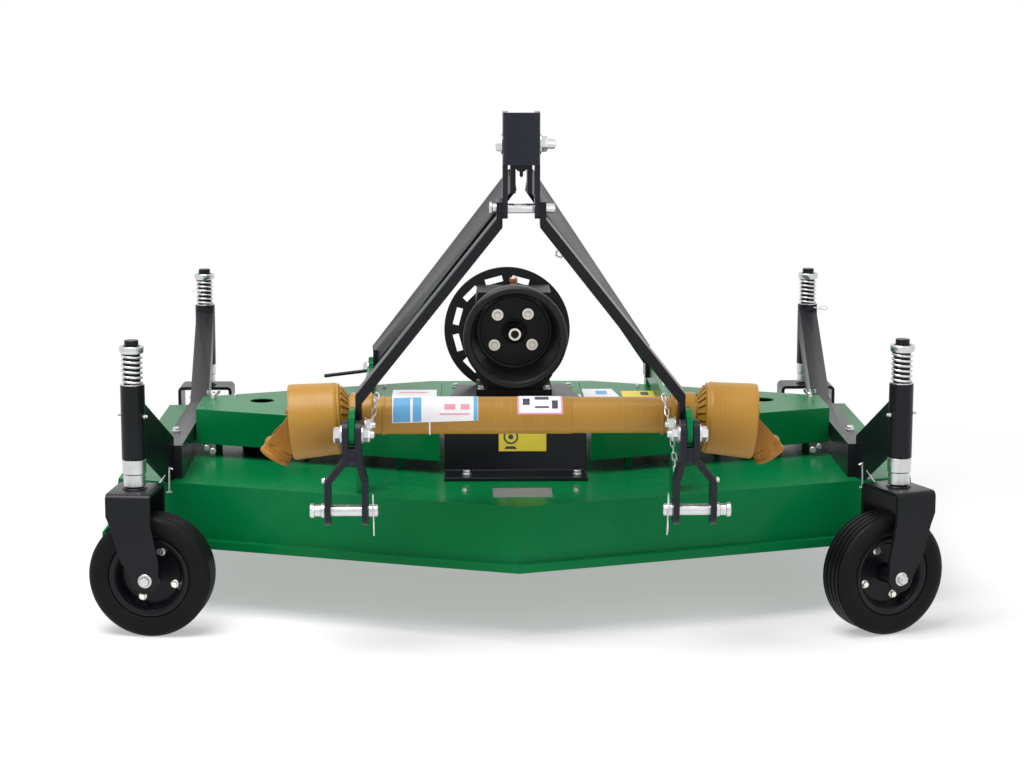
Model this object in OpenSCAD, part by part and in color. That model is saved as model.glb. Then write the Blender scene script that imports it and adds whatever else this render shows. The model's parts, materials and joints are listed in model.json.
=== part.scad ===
// Three-point finish mower, 6 ft class. Millimetres. +Z up, +X to the right, hitch towards -Y.

/* [Deck] */
// Height of the deck's top sheet
deck_top_z = 282; // [275:1:288]
// Height of the deck's lower edge
deck_low_z = 145; // [130:1:150]
// Half width of the top sheet
deck_half = 853; // [835:1:860]
// Half width over the side lips
lip_half = 893; // [885:1:910]
// Front point of the V, at the fold
apex_y = -530; // [-545:1:-500]
// How far the V falls back per mm of width
v_slope = 0.348; // [0.3:0.01:0.4]
// Rear edge of the deck
deck_rear_y = 680; // [640:5:685]
// Deck sheet
sheet = 4; // [3:0.5:6]
// How far the front lip stands out
lip_out = 14; // [8:1:18]
// Height of the lip band
lip_h = 18; // [12:1:24]
// Height where the side skirt starts to flare
flare_z = 187; // [175:1:200]
// Half width at the start of the flare
flare_half = 868; // [862:1:875]
// Depth of the rear skirt
rear_skirt_h = 55; // [30:1:80]

/* [Belt cover] */
// Height of the cover's top
cover_z = 390; // [380:1:398]
// Height of the skirt's lower edge
cover_low_z = 312; // [296:1:330]
// Half length of the whole cover
cover_half = 714; // [700:1:714]
// Front corner at the outer end
cover_end_y = 10; // [0:1:30]
// Rear corner at the outer end
cover_end_rear_y = 176; // [165:1:200]
// Rear edge of the middle
cover_rear_y = 390; // [375:1:400]
// Half length of the straight rear edge
cover_rear_half = 190; // [170:1:220]
// Half gap between the two halves
cover_gap = 164; // [160:1:175]
// Cover sheet
cover_t = 3; // [2:0.5:4]
// Spindle access hole radius
access_r = 27; // [20:1:35]

/* [Blades] */
// Sideways place of the outer spindles
spindle_x = 574; // [573:0.5:575]
// Outer spindles behind the middle one
spindle_y = 120; // [116:1:140]
// Blade tip radius
blade_r = 285; // [260:1:286]
// Blade width
blade_w = 64; // [50:1:80]
// Blade thickness
blade_t = 6; // [4:0.5:8]
// Blade's underside
blade_z = 178; // [170:1:190]
// Spindle radius
spindle_r = 15; // [12:0.5:18]
// Housing radius under the deck
housing_r = 58; // [45:1:70]
// Pulley radius
pulley_r = 88; // [70:1:92]
// Pulley's underside
pulley_z = 306; // [302:1:312]
// Pulley height
pulley_h = 34; // [25:1:38]

/* [Gearbox] */
// Height of the input shaft
input_z = 578; // [574:1:582]
// Height of the shield's middle
shield_z = 578; // [574:1:582]
// Gearbox width
gear_w = 170; // [150:1:180]
// Half width of the gearbox top
gear_top_half = 81; // [60:1:84]
// Gearbox front face
gear_front_y = -52; // [-60:1:-45]
// Gearbox rear face
gear_rear_y = 84; // [75:1:90]
// Top of the gearbox
gear_top_z = 661; // [655:1:680]
// Top of the mount
mount_z = 430; // [425:1:436]
// Mount plate thickness
mount_t = 8; // [6:1:12]
// Half width of the mount's front
mount_half = 154; // [135:1:156]
// Half width of the mount's rear
mount_rear_half = 117; // [100:1:125]
// Mount's front face
mount_front_y = -195; // [-205:1:-185]
// Mount's rear face
mount_rear_y = 98; // [95:1:100]
// Length of the mount's front flange
flange_l = 81; // [60:1:90]
// Length of the mount's rear flange
rear_flange_l = 60; // [40:1:80]
// Input shaft radius, 1 3/8 in size
input_r = 17.45; // [17:0.05:18]
// Input shaft's front end
input_front_y = -127; // [-135:1:-115]
// Shield rim radius
shield_r = 113; // [109:1:117]
// Shield radius at the back
shield_back_r = 104; // [98:1:108]
// Radius inside the shield's lip
lip_r = 94; // [90:1:98]
// Shield recess radius
recess_r = 83; // [75:1:88]
// Shield's front
shield_front_y = -187; // [-190:1:-150]
// Height of the guard ring's middle
ring_z = 556; // [552:1:566]
// Guard ring radius
ring_r = 143; // [135:1:146]
// Guard ring's front face
ring_y = 104; // [102:1:112]
// Guard ring sheet
ring_t = 5; // [3:0.5:8]
// Guard ring's middle, beside the shaft
ring_x = -13; // [-16:1:16]

/* [Castors] */
// Turn of the left front castor's trail in degrees
left_front_turn = -6; // [-30:1:30]
// Turn of the right front castor's trail in degrees
right_front_turn = 203; // [150:1:240]
// Tyre diameter
wheel_d = 254; // [244:1:256]
// Tyre width
wheel_w = 82; // [74:1:86]
// Radius of the rim under the tyre
rim_r = 84; // [78:1:88]
// Wheel's trail behind the stem
trail = 33; // [25:1:36]
// Width over the fork's legs
fork_w = 138; // [130:1:142]
// Fork plate thickness
fork_t = 8; // [6:1:10]
// Top of the fork
fork_top_z = 306; // [300:1:310]
// Half length of the fork's top
fork_half = 46; // [40:1:50]
// Axle radius
axle_r = 8; // [7:0.5:10]
// Stem radius
stem_r = 17.5; // [15:0.5:19]
// Sleeve outer radius
sleeve_r = 25; // [23:0.5:27]
// Front stems, sideways
front_stem_x = 790; // [780:1:795]
// Front stems, lengthways
front_stem_y = -450; // [-460:1:-445]
// Top of the front stems
front_cap_z = 615; // [600:1:625]
// Rear stems, sideways
rear_stem_x = 780; // [772:1:790]
// Rear stems, lengthways
rear_stem_y = 852; // [848:1:865]
// Top of the rear stems
rear_cap_z = 607; // [600:1:625]
// Length of a sleeve
sleeve_l = 154; // [140:1:160]
// Sleeve's top below the stem's top
sleeve_drop = 93; // [85:1:100]

/* [Side rails] */
// Inner face of the rail
rail_in_x = 717; // [716:1:722]
// Width of the rail
rail_w = 43; // [38:1:48]
// Height of the rail
rail_h = 73; // [60:1:78]
// Front end of the rail
rail_front_y = -240; // [-245:1:-230]
// Where the rail starts to rise
rail_bend_y = 305; // [290:1:330]
// Gusset plate thickness
gusset_t = 10; // [8:1:14]

/* [Hitch] */
// Half spread of the lower pins
pin_half = 341.5; // [339:0.5:344]
// Lower pins, lengthways
pin_y = -699; // [-705:1:-694]
// Height of the lower pins
pin_z = 313; // [308:1:320]
// Lower pin radius
pin_r = 11; // [10.5:0.5:12]
// Half spread of the deck's hitch rails
lug_half = 330; // [328:0.5:332]
// Thickness of the hitch rails and clevis plates
bar_t = 12; // [10:1:12]
// Half width of a clevis plate
clevis_r = 25; // [22:1:27]
// Clevis bolt height
clevis_bolt_z = 464; // [460:1:470]
// Gap between the clevis plates at the lower pin
clevis_gap = 61; // [55:1:66]
// Top-link pin, lengthways
top_y = -690; // [-692:1:-680]
// Top-link pin height
top_z = 906; // [895:1:912]
// Top-link pin radius
top_pin_r = 9.5; // [9:0.5:10]
// Upper bolt height
upper_z = 1030; // [1020:1:1038]
// Top of the bracket
bracket_z = 1091; // [1080:1:1100]
// Half width over the bracket
bracket_half = 36; // [33:1:38]
// Bracket plate thickness
bracket_t = 10; // [8:1:11]
// Bracket depth
bracket_d = 60; // [50:1:64]
// Front arm width, front to back
arm_w = 42; // [36:1:44]
// Rear brace height
brace_h = 45; // [36:1:50]
// Rear brace thickness
brace_t = 10; // [8:1:11]
// Rear brace's bolt, lengthways
brace_y = 290; // [280:1:300]
// Rear brace's bolt height
brace_z = 440; // [436:1:446]

/* [Driveline] */
// Driveline axis, lengthways
drive_y = -575; // [-578:1:-570]
// Driveline's middle, beside the hitch's
drive_x = 7; // [-7:1:7]
// Driveline axis height
drive_z = 480; // [476:1:486]
// Guard tube radius
tube_r = 37.5; // [34:0.5:39]
// Half length to the end collars
cone_in = 310; // [300:1:314]
// Half length to the bells
bell_in = 364; // [360:1:370]
// Half length over the bells
bell_out = 464; // [450:1:475]
// Collar radius
collar_r = 46; // [42:1:47]
// Bell radius
bell_r = 76; // [70:1:80]
// How much narrower the bell starts
bell_taper = 4.5; // [1:0.5:6]
// Guard wall
guard_t = 4; // [3:0.5:6]
// Bell's droop in degrees
bell_droop = 5; // [0:1:6]
// Yoke's droop in degrees
yoke_droop = 55; // [20:1:56]

/* [Hidden] */
$fn = 96;

fit = 0.05;
seat = 0.3;
wheel_r = wheel_d / 2;
stub_r = 24;
y_front = pin_y - clevis_r;
y_rear = rear_stem_y + trail + wheel_r;
mid_y = (y_front + y_rear) / 2;

// Castor table: sideways place, lengthways place, stem top, turn of the trail
CX = 0;
CY = 1;
CTOP = 2;
CTURN = 3;
LEFT_FRONT = [-front_stem_x, front_stem_y, front_cap_z, left_front_turn];
RIGHT_FRONT = [front_stem_x, front_stem_y, front_cap_z, right_front_turn];
LEFT_REAR = [-rear_stem_x, rear_stem_y, rear_cap_z, 90];
RIGHT_REAR = [rear_stem_x, rear_stem_y, rear_cap_z, 90];

// Spindle table: sideways place, lengthways place, turn of the blade
LEFT_SPINDLE = [-spindle_x, spindle_y, 20];
CENTRE_SPINDLE = [0, 0, 75];
RIGHT_SPINDLE = [spindle_x, spindle_y, -20];

function fold_y(x, out = 0) = apex_y + v_slope * abs(x) - out * sqrt(1 + v_slope * v_slope);
function unit(a, b) = (b - a) / norm(b - a);
function side_of(d) = [-d[1], d[0]];
function miter(p, i) = let(n = len(p), u = i > 0 ? side_of(unit(p[i - 1], p[i])) : side_of(unit(p[0], p[1])),
    v = i < n - 1 ? side_of(unit(p[i], p[i + 1])) : u) (u + v) / (1 + u * v);
function strip(p, t) = concat([for (i = [0:len(p) - 1]) p[i] + miter(p, i) * t / 2],
    [for (i = [len(p) - 1:-1:0]) p[i] - miter(p, i) * t / 2]);

module placed() translate([0, -mid_y, 0]) children();
// A plate in the side plane: points are lengthways and up
module side_plate(x, t, pts) translate([x - t / 2, 0, 0]) rotate([90, 0, 90]) linear_extrude(t) polygon(pts);
// A prism in the front plane: points are sideways and up
module front_prism(y0, y1, pts) translate([0, y1, 0]) rotate([90, 0, 0]) linear_extrude(y1 - y0) polygon(pts);
module pillar(x, y, z0, z1, r) translate([x, y, z0]) cylinder(h = z1 - z0, r = r);
module cross(x0, x1, y, z, r) translate([x0, y, z]) rotate([0, 90, 0]) cylinder(h = x1 - x0, r = r);
module fore(x, y0, y1, z, r) translate([x, y0, z]) rotate([-90, 0, 0]) cylinder(h = y1 - y0, r = r);
module block(x0, x1, y0, y1, z0, z1) translate([x0, y0, z0]) cube([x1 - x0, y1 - y0, z1 - z0]);
// A bar between two places, its height in the vertical plane
module bar(a, b, t, h) {
    d = b - a;
    translate(a) rotate([0, -atan2(d[2], norm([d[0], d[1]])), 0] + [0, 0, atan2(d[1], d[0])])
        translate([0, -t / 2, -h / 2]) cube([norm(d), t, h]);
}

// Deck
function v_strip(half, in, out) = [[-half, fold_y(half, out)], [0, fold_y(0, out)], [half, fold_y(half, out)],
    [half, fold_y(half, -in)], [0, fold_y(0, -in)], [-half, fold_y(half, -in)]];
side_line = [[deck_half, deck_top_z], [flare_half, flare_z], [lip_half - sheet / 2, deck_low_z + lip_h],
    [lip_half - sheet / 2, deck_low_z]];
function mirrored(p) = [for (q = p) [-q[0], q[1]]];
end_shape = concat(side_line, [for (i = [len(side_line) - 1:-1:0]) [-side_line[i][0], side_line[i][1]]]);
corner_y = fold_y(deck_half);
rail_post_l = 60;
front_post_y = fold_y(lug_half) + 25;
rear_post_y = 350;
rail_low_z = 406;
rail_high_z = 446;

module deck_skin() {
    // top sheet
    translate([0, 0, deck_top_z - sheet]) linear_extrude(sheet)
        polygon([[-deck_half, deck_rear_y], [-deck_half, corner_y], [0, apex_y], [deck_half, corner_y],
            [deck_half, deck_rear_y]]);
    // V front
    intersection() {
        translate([0, 0, deck_low_z]) linear_extrude(deck_top_z - deck_low_z)
            polygon(v_strip(lip_half, sheet, 0));
        front_prism(apex_y - 50, 0, end_shape);
    }
    translate([0, 0, deck_low_z]) linear_extrude(lip_h) polygon(v_strip(lip_half, 0, lip_out));
    // sides
    for (p = [side_line, mirrored(side_line)]) front_prism(corner_y, deck_rear_y, strip(p, sheet));
    // rear skirt
    block(-deck_half, deck_half, deck_rear_y - sheet, deck_rear_y, deck_top_z - rear_skirt_h, deck_top_z);
}

module deck() color("green") placed() {
    difference() {
        deck_skin();
        for (s = [LEFT_SPINDLE, CENTRE_SPINDLE, RIGHT_SPINDLE])
            pillar(s[0], s[1], deck_top_z - 20, deck_top_z + 5, housing_r * 0.8);
    }
}

// Belt cover
function cover_front_y(x) = cover_end_y - 0.39 * (cover_half - abs(x));
function cover_back_y(x) = abs(x) < cover_rear_half ? cover_rear_y :
    cover_rear_y - (cover_rear_y - cover_end_rear_y) * (abs(x) - cover_rear_half)
        / (cover_half - cover_rear_half);

// Each post keeps its clearance from the nearest edges of the cover
end_post_x = cover_half - 46;
front_post_x = cover_gap + 86;
back_post_x = (cover_half + cover_gap) / 2 + 41;
cover_posts = [[end_post_x, cover_end_y + 50], [front_post_x, cover_front_y(front_post_x) + 41],
    [back_post_x, cover_back_y(back_post_x) - 56.5]];

module cover_half_shell(side) {
    for (p = cover_posts)
        block(side * p[0] - 8, side * p[0] + 8, p[1] - 3, p[1] + 3, deck_top_z, cover_z - cover_t + 1);
    x_in = cover_gap;
    function px(x) = side * x;
    outer = [[px(x_in), cover_front_y(x_in)], [px(cover_half), cover_end_y],
        [px(cover_half), cover_end_rear_y],
        [px(cover_rear_half), cover_rear_y], [px(x_in), cover_rear_y]];
    d = cover_t;
    inner = [[px(x_in - 1), cover_front_y(x_in - 1) + d * 1.08], [px(cover_half - d), cover_end_y + d],
        [px(cover_half - d), cover_end_rear_y - d], [px(cover_rear_half - d * 0.2), cover_rear_y - d],
        [px(x_in - 1), cover_rear_y - d]];
    difference() {
        translate([0, 0, cover_low_z]) linear_extrude(cover_z - cover_low_z) polygon(outer);
        translate([0, 0, cover_low_z - 1]) linear_extrude(cover_z - cover_low_z - cover_t + 1) polygon(inner);
        pillar(side * spindle_x, spindle_y, cover_z - 10, cover_z + 5, access_r);
    }
}
module left_belt_cover() color("mediumseagreen") placed() cover_half_shell(-1);
module right_belt_cover() color("mediumseagreen") placed() cover_half_shell(1);
module centre_belt_cover() color("seagreen") placed() {
    x1 = cover_gap - seat;
    y0 = ring_y + ring_t + 10;
    block(-x1, x1, y0, cover_rear_y, cover_z - cover_t, cover_z);
    block(-x1, x1, cover_rear_y - cover_t, cover_rear_y, cover_low_z, cover_z - 1);
}

// Gearbox
gear_foot_h = 14;
gear_neck = 60;
gear_shoulder = 24;
gear_boss_l = 14;
gear_boss_r = 52;
rear_boss_r = 60;
breather_y = 16;
breather_h = 23;
breather_r = 6;
module gearbox_mount() color("dimgray") placed() intersection() {
    difference() {
        union() {
            block(-200, 200, mount_front_y - flange_l, mount_front_y + 1, deck_top_z, deck_top_z + mount_t);
            block(-200, 200, mount_front_y, mount_front_y + mount_t, deck_top_z, mount_z);
            block(-200, 200, mount_front_y, mount_rear_y, mount_z - mount_t, mount_z);
            block(-200, 200, mount_rear_y - mount_t, mount_rear_y, deck_top_z, mount_z);
            block(-200, 200, mount_rear_y - 1, mount_rear_y + rear_flange_l,
                deck_top_z, deck_top_z + mount_t);
        }
        pillar(0, 0, mount_z - mount_t - 1, mount_z + 1, 32);
    }
    linear_extrude(mount_z + 1) polygon([
        [-mount_half, mount_front_y - flange_l - 1], [mount_half, mount_front_y - flange_l - 1],
        [mount_half, mount_front_y + 60], [mount_rear_half, mount_rear_y + rear_flange_l + 1],
        [-mount_rear_half, mount_rear_y + rear_flange_l + 1], [-mount_half, mount_front_y + 60]]);
}

module ring_plate() difference() {
    fore(ring_x, ring_y - 1, ring_y + ring_t, ring_z, ring_r);
    for (a = [15:30:345]) translate([ring_x, 0, ring_z]) rotate([0, a, 0])
        block(-20, 20, ring_y - 2, ring_y + ring_t + 1, ring_r - 34, ring_r - 20);
}
module gearbox() color("black") placed() difference() {
    union() {
        front_prism(gear_front_y, gear_rear_y, [
            [-gear_w / 2 + 18, mount_z + 22], [gear_w / 2 - 18, mount_z + 22],
            [gear_w / 2, mount_z + 45], [gear_w / 2, gear_top_z - gear_shoulder], [gear_top_half, gear_top_z],
            [-gear_top_half, gear_top_z], [-gear_w / 2, gear_top_z - gear_shoulder],
            [-gear_w / 2, mount_z + 45]]);
        block(-gear_w / 2 + 1, gear_w / 2 - 1, gear_front_y - 6, gear_rear_y + 4,
            mount_z, mount_z + gear_foot_h);
        block(-gear_neck, gear_neck, gear_front_y + 7, gear_rear_y - 9,
            mount_z + gear_foot_h - 1, mount_z + 23);
        fore(0, gear_front_y - gear_boss_l, gear_front_y + 1, shield_z, gear_boss_r);
        fore(0, gear_rear_y - 1, ring_y, ring_z, rear_boss_r);
        ring_plate();
        pillar(0, breather_y, gear_top_z - 1, gear_top_z + breather_h, breather_r);
    }
    fore(0, gear_front_y - 20, gear_front_y + 60, input_z, input_r + fit);
    pillar(0, 0, mount_z - 1, mount_z + 30, spindle_r + fit);
}

plate_y = gear_front_y - gear_boss_l - seat;
plate_t = 7.7;
recess_l = 44;
spline_l = 40;
module input_shield() color("black") placed() translate([0, 0, shield_z]) rotate([-90, 0, 0])
    rotate_extrude() polygon([[30, plate_y], [shield_back_r - 8, plate_y], [shield_back_r, plate_y - 8],
        [shield_r, shield_front_y + 12], [shield_r - 4, shield_front_y], [lip_r + 4, shield_front_y],
        [lip_r, shield_front_y + 6], [recess_r, plate_y - recess_l], [recess_r, plate_y - plate_t],
        [30, plate_y - plate_t]]);

module input_shaft() color("silver") placed() difference() {
    union() {
        fore(0, input_front_y, gear_front_y + 55, input_z, input_r);
        fore(0, input_front_y + spline_l, gear_front_y - 16, input_z, 21);
    }
    fore(0, input_front_y - 1, input_front_y + 14, input_z, 7);
}

// Castors
module at_castor(c) translate([c[CX], c[CY], 0]) rotate([0, 0, c[CTURN]]) children();
hub_z = wheel_d / 2;
spring_wire = 4;
spring_turns = 6;
cap_low = 66;
cap_h = 16;
stub_top_r = 14.8;
spring_low = 6;
spring_pitch = (cap_low + 1 - spring_low - 2 * spring_wire) / (spring_turns - 1);
leg_end = 28;
leg_shape = [[-fork_half, fork_top_z], [fork_half, fork_top_z], [fork_half, fork_top_z - 64],
    [trail + leg_end, hub_z + 40], [trail + leg_end, hub_z], [trail - leg_end, hub_z],
    [trail - leg_end - 26, hub_z + 50], [-fork_half + 10, fork_top_z - 72], [-fork_half, fork_top_z - 46]];

module castor_fork(c) color("black") placed() at_castor(c) {
    sleeve_top = c[CTOP] - sleeve_drop;
    sleeve_low = sleeve_top - sleeve_l;
    translate([-fork_half, -fork_w / 2, fork_top_z - fork_t]) cube([2 * fork_half, fork_w, fork_t]);
    for (v = [-fork_w / 2, fork_w / 2 - fork_t]) {
        front_prism(v, v + fork_t, leg_shape);
        fore(trail, v, v + fork_t, hub_z, leg_end);
    }
    fore(trail, -fork_w / 2 - 12, fork_w / 2 + 14, hub_z, axle_r);
    fore(trail, -fork_w / 2 - 12, -fork_w / 2 + 1, hub_z, 13);
    fore(trail, fork_w / 2 - 1, fork_w / 2 + 12, hub_z, 13);
    pillar(0, 0, fork_top_z - fork_t, sleeve_top + cap_low + 4, stem_r);
    mid = (fork_top_z + sleeve_low - seat) / 2;
    pillar(0, 0, fork_top_z - 1, mid - 1.5, sleeve_r);
    pillar(0, 0, mid - 2, mid + 1, sleeve_r - 2);
    pillar(0, 0, mid + 0.5, sleeve_low - seat, sleeve_r);
    pillar(0, 0, sleeve_top + seat, sleeve_top + 4, 22);
    for (i = [0:spring_turns - 1])
        translate([0, 0, sleeve_top + spring_low + spring_wire + i * spring_pitch]) rotate_extrude()
        translate([22.2 - spring_wire, 0]) circle(r = spring_wire);
    pillar(0, 0, sleeve_top + cap_low, sleeve_top + cap_low + cap_h, sleeve_r + 0.7);
    pillar(0, 0, sleeve_top + cap_low + cap_h - 2, c[CTOP], stub_top_r);
}
module left_front_fork() castor_fork(LEFT_FRONT);
module right_front_fork() castor_fork(RIGHT_FRONT);
module left_rear_fork() castor_fork(LEFT_REAR);
module right_rear_fork() castor_fork(RIGHT_REAR);

hub_half = fork_w / 2 - fork_t - 1;
module castor_rim(c) color("dimgray") placed() at_castor(c) translate([trail, 0, hub_z]) rotate([90, 0, 0])
    rotate_extrude() polygon([[axle_r + fit, -hub_half], [19, -hub_half], [19, -7], [recess_of_rim, -5],
        [rim_r - 10, -wheel_w / 2 + 16], [rim_r - 4, -wheel_w / 2 + 8], [rim_r - seat, -wheel_w / 2 + 8],
        [rim_r - seat, wheel_w / 2 - 8], [rim_r - 4, wheel_w / 2 - 8], [rim_r - 10, wheel_w / 2 - 16],
        [recess_of_rim, 5], [19, 7], [19, hub_half], [axle_r + fit, hub_half]]);
recess_of_rim = 62;
module left_front_rim() castor_rim(LEFT_FRONT);
module right_front_rim() castor_rim(RIGHT_FRONT);
module left_rear_rim() castor_rim(LEFT_REAR);
module right_rear_rim() castor_rim(RIGHT_REAR);

module castor_tyre(c) color("darkslategray") placed() at_castor(c)
    translate([trail, 0, hub_z]) rotate([90, 0, 0])
    rotate_extrude() polygon([[rim_r, -wheel_w / 2 + 9], [rim_r + 6, -wheel_w / 2 + 2],
        [rim_r + 18, -wheel_w / 2], [wheel_r - 14, -wheel_w / 2 + 1], [wheel_r - 5, -wheel_w / 2 + 6],
        [wheel_r, -wheel_w / 2 + 15], [wheel_r, wheel_w / 2 - 15], [wheel_r - 5, wheel_w / 2 - 6],
        [wheel_r - 14, wheel_w / 2 - 1], [rim_r + 18, wheel_w / 2], [rim_r + 6, wheel_w / 2 - 2],
        [rim_r, wheel_w / 2 - 9]]);
module left_front_tyre() castor_tyre(LEFT_FRONT);
module right_front_tyre() castor_tyre(RIGHT_FRONT);
module left_rear_tyre() castor_tyre(LEFT_REAR);
module right_rear_tyre() castor_tyre(RIGHT_REAR);

module sleeve(c) {
    top = c[CTOP] - sleeve_drop;
    difference() {
        union() {
            pillar(c[CX], c[CY], top - sleeve_l, top, sleeve_r);
            children();
        }
        pillar(c[CX], c[CY], top - sleeve_l - 1, top + 1, stem_r + fit);
    }
}

// Side rails
rail_mid_x = rail_in_x + rail_w / 2;
rail_top_z = deck_top_z + rail_h;
module front_carrier(c) {
    side = sign(c[CX]);
    top = c[CTOP] - sleeve_drop;
    low = top - sleeve_l;
    run = [rail_mid_x - abs(c[CX]), rail_front_y - c[CY]];
    reach = norm(run);
    turn = atan2(run[1], side * run[0]);
    deck_s = (fold_y(rail_mid_x) - c[CY]) / run[1] * reach;
    color("black") placed() sleeve(c) difference() {
        translate([c[CX], c[CY], 0]) rotate([0, 0, turn - 90])
            side_plate(0, gusset_t, [[sleeve_r + 6, low + 6],
            [0, low + 6], [0, top - 14], [reach + 40, rail_top_z - 6], [reach + 40, deck_top_z],
            [deck_s, deck_top_z]]);
        block(-lip_half - sleeve_l, lip_half + sleeve_l, rail_front_y, rear_stem_y, 0, top + 1);
    }
}
module left_front_carrier() front_carrier(LEFT_FRONT);
module right_front_carrier() front_carrier(RIGHT_FRONT);

module side_rail(c) {
    side = sign(c[CX]);
    top = c[CTOP] - sleeve_drop;
    run = [abs(c[CX]) - rail_mid_x, c[CY] - rail_bend_y];
    reach = norm(run);
    swing = -side * atan2(run[0], run[1]);
    color("black") placed() sleeve(c) {
        block(side * rail_mid_x - rail_w / 2, side * rail_mid_x + rail_w / 2, rail_front_y, rail_bend_y,
            deck_top_z, rail_top_z);
        translate([side * rail_mid_x, rail_bend_y, 0]) rotate([0, 0, swing]) side_plate(0, rail_w,
            [[-12, deck_top_z], [-12, rail_top_z], [0, rail_top_z],
                [reach - 6, top - 8], [reach - 6, top - 82]]);
    }
}
module left_side_rail() side_rail(LEFT_REAR);
module right_side_rail() side_rail(RIGHT_REAR);

// Spindles
module spindle_housing(s) color("gray") placed() difference() {
    union() {
        pillar(s[0], s[1], deck_top_z - sheet - 62, deck_top_z - sheet, housing_r);
        pillar(s[0], s[1], deck_top_z - sheet - 1, pulley_z - 6, housing_r * 0.8 - seat);
    }
    pillar(s[0], s[1], 100, pulley_z, spindle_r + fit);
}
module left_spindle_housing() spindle_housing(LEFT_SPINDLE);
module centre_spindle_housing() spindle_housing(CENTRE_SPINDLE);
module right_spindle_housing() spindle_housing(RIGHT_SPINDLE);

module blade(s, top) color("silver") placed() translate([s[0], s[1], 0]) {
    difference() {
        pillar(0, 0, pulley_z, pulley_z + pulley_h, pulley_r);
        translate([0, 0, pulley_z + pulley_h / 2]) rotate_extrude()
            polygon([[pulley_r - 14, -5], [pulley_r + 1, -11], [pulley_r + 1, 11], [pulley_r - 14, 5]]);
    }
    pillar(0, 0, blade_z - 12, top, spindle_r);
    pillar(0, 0, blade_z - 16, blade_z + 1, 24);
    pillar(0, 0, blade_z + blade_t - 1, deck_top_z - sheet - 67.5, 22);
    intersection() {
        rotate([0, 0, s[2]]) block(-blade_r, blade_r, -blade_w / 2, blade_w / 2, blade_z, blade_z + blade_t);
        pillar(0, 0, blade_z - 1, blade_z + blade_t + 1, blade_r);
    }
}
module left_blade() blade(LEFT_SPINDLE, pulley_z + pulley_h + 12);
module centre_blade() blade(CENTRE_SPINDLE, mount_z + 26);
module right_blade() blade(RIGHT_SPINDLE, pulley_z + pulley_h + 12);

// Hitch
saddle_z = drive_z - collar_r - seat;
arm_bolt_y = -650;
arm_bolt_z = 486;
module hitch_rail(side) {
    x = side * lug_half;
    color("green") placed() difference() {
        union() {
            side_plate(x, bar_t, [[pin_y - 21.5, clevis_bolt_z], [pin_y - 12, clevis_bolt_z + 36],
                [pin_y + 14, clevis_bolt_z + 46], [arm_bolt_y + 16, clevis_bolt_z + 44],
                [arm_bolt_y + 26, drive_z],
                [drive_y + 56, drive_z - 8], [drive_y + 84, rail_high_z],
                [rear_post_y + rail_post_l, rail_high_z],
                [rear_post_y + rail_post_l, rail_low_z], [drive_y + 110, rail_low_z],
                [drive_y + 50, saddle_z - 46], [drive_y - 44, saddle_z - 46],
                [pin_y + 18, clevis_bolt_z - 20], [pin_y, clevis_bolt_z - 21.5]]);
            cross(x - bar_t / 2, x + bar_t / 2, pin_y, clevis_bolt_z, 21.5);
            cross(x - bar_t / 2, x + bar_t / 2, brace_y, brace_z, 24);
            for (y = [front_post_y, rear_post_y])
                block(x - bar_t / 2, x + bar_t / 2, y, y + rail_post_l, deck_top_z, rail_low_z + 1);
        }
        cross(x - 20, x + 20, pin_y, clevis_bolt_z, 8 + fit);
        cross(x - 20, x + 20, drive_y, drive_z, collar_r + seat);
    }
}
module left_hitch_rail() hitch_rail(-1);
module right_hitch_rail() hitch_rail(1);

throat = bar_t + 2;
lobe_drop = 29;
module clevis(side) {
    up = side * lug_half;
    low = side * pin_half;
    color("dimgray") placed() difference() {
        union() {
            intersection() {
                union() {
                    for (s = [-1, 1]) front_prism(pin_y - clevis_r, pin_y + clevis_r,
                        strip([[up + s * (throat + bar_t) / 2, clevis_bolt_z + 30],
                            [up + s * (throat + bar_t) / 2, 413], [low + s * (clevis_gap + bar_t) / 2, 371],
                            [low + s * (clevis_gap + bar_t) / 2, pin_z - lobe_drop]], bar_t));
                    block(up - throat / 2 - 1, up + throat / 2 + 1, pin_y - clevis_r, pin_y + 8,
                        413, clevis_bolt_z - 24);
                }
                union() {
                    block(-500, 500, pin_y - clevis_r, pin_y + clevis_r, pin_z, clevis_bolt_z);
                    cross(-500, 500, pin_y, pin_z - lobe_drop + clevis_r, clevis_r);
                    cross(-500, 500, pin_y, clevis_bolt_z + 4, clevis_r);
                }
            }
            cross(up - throat / 2 - bar_t - 14, up + throat / 2 + bar_t + 16, pin_y, clevis_bolt_z, 8);
            cross(up - throat / 2 - bar_t - 13, up - throat / 2 - bar_t + 1, pin_y, clevis_bolt_z, 12);
            cross(up + throat / 2 + bar_t - 1, up + throat / 2 + bar_t + 13, pin_y, clevis_bolt_z, 12);
        }
        cross(low - 60, low + 60, pin_y, pin_z, pin_r + fit);
    }
}
module left_clevis() clevis(-1);
module right_clevis() clevis(1);

module lower_pin(side) color("silver") placed() {
    low = side * pin_half;
    out = 72;
    in = 62;
    a = side > 0 ? low - in : low - out;
    b = side > 0 ? low + out : low + in;
    cross(a, b, pin_y, pin_z, pin_r);
    head = low + side * (out - 4);
    cross(head - 4, head + 4, pin_y, pin_z, 14);
    neck = low + side * (clevis_gap / 2 + bar_t + 4);
    cross(neck - 3.5, neck + 3.5, pin_y, pin_z, 13.5);
}
module left_lower_pin() lower_pin(-1);
module right_lower_pin() lower_pin(1);

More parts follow.
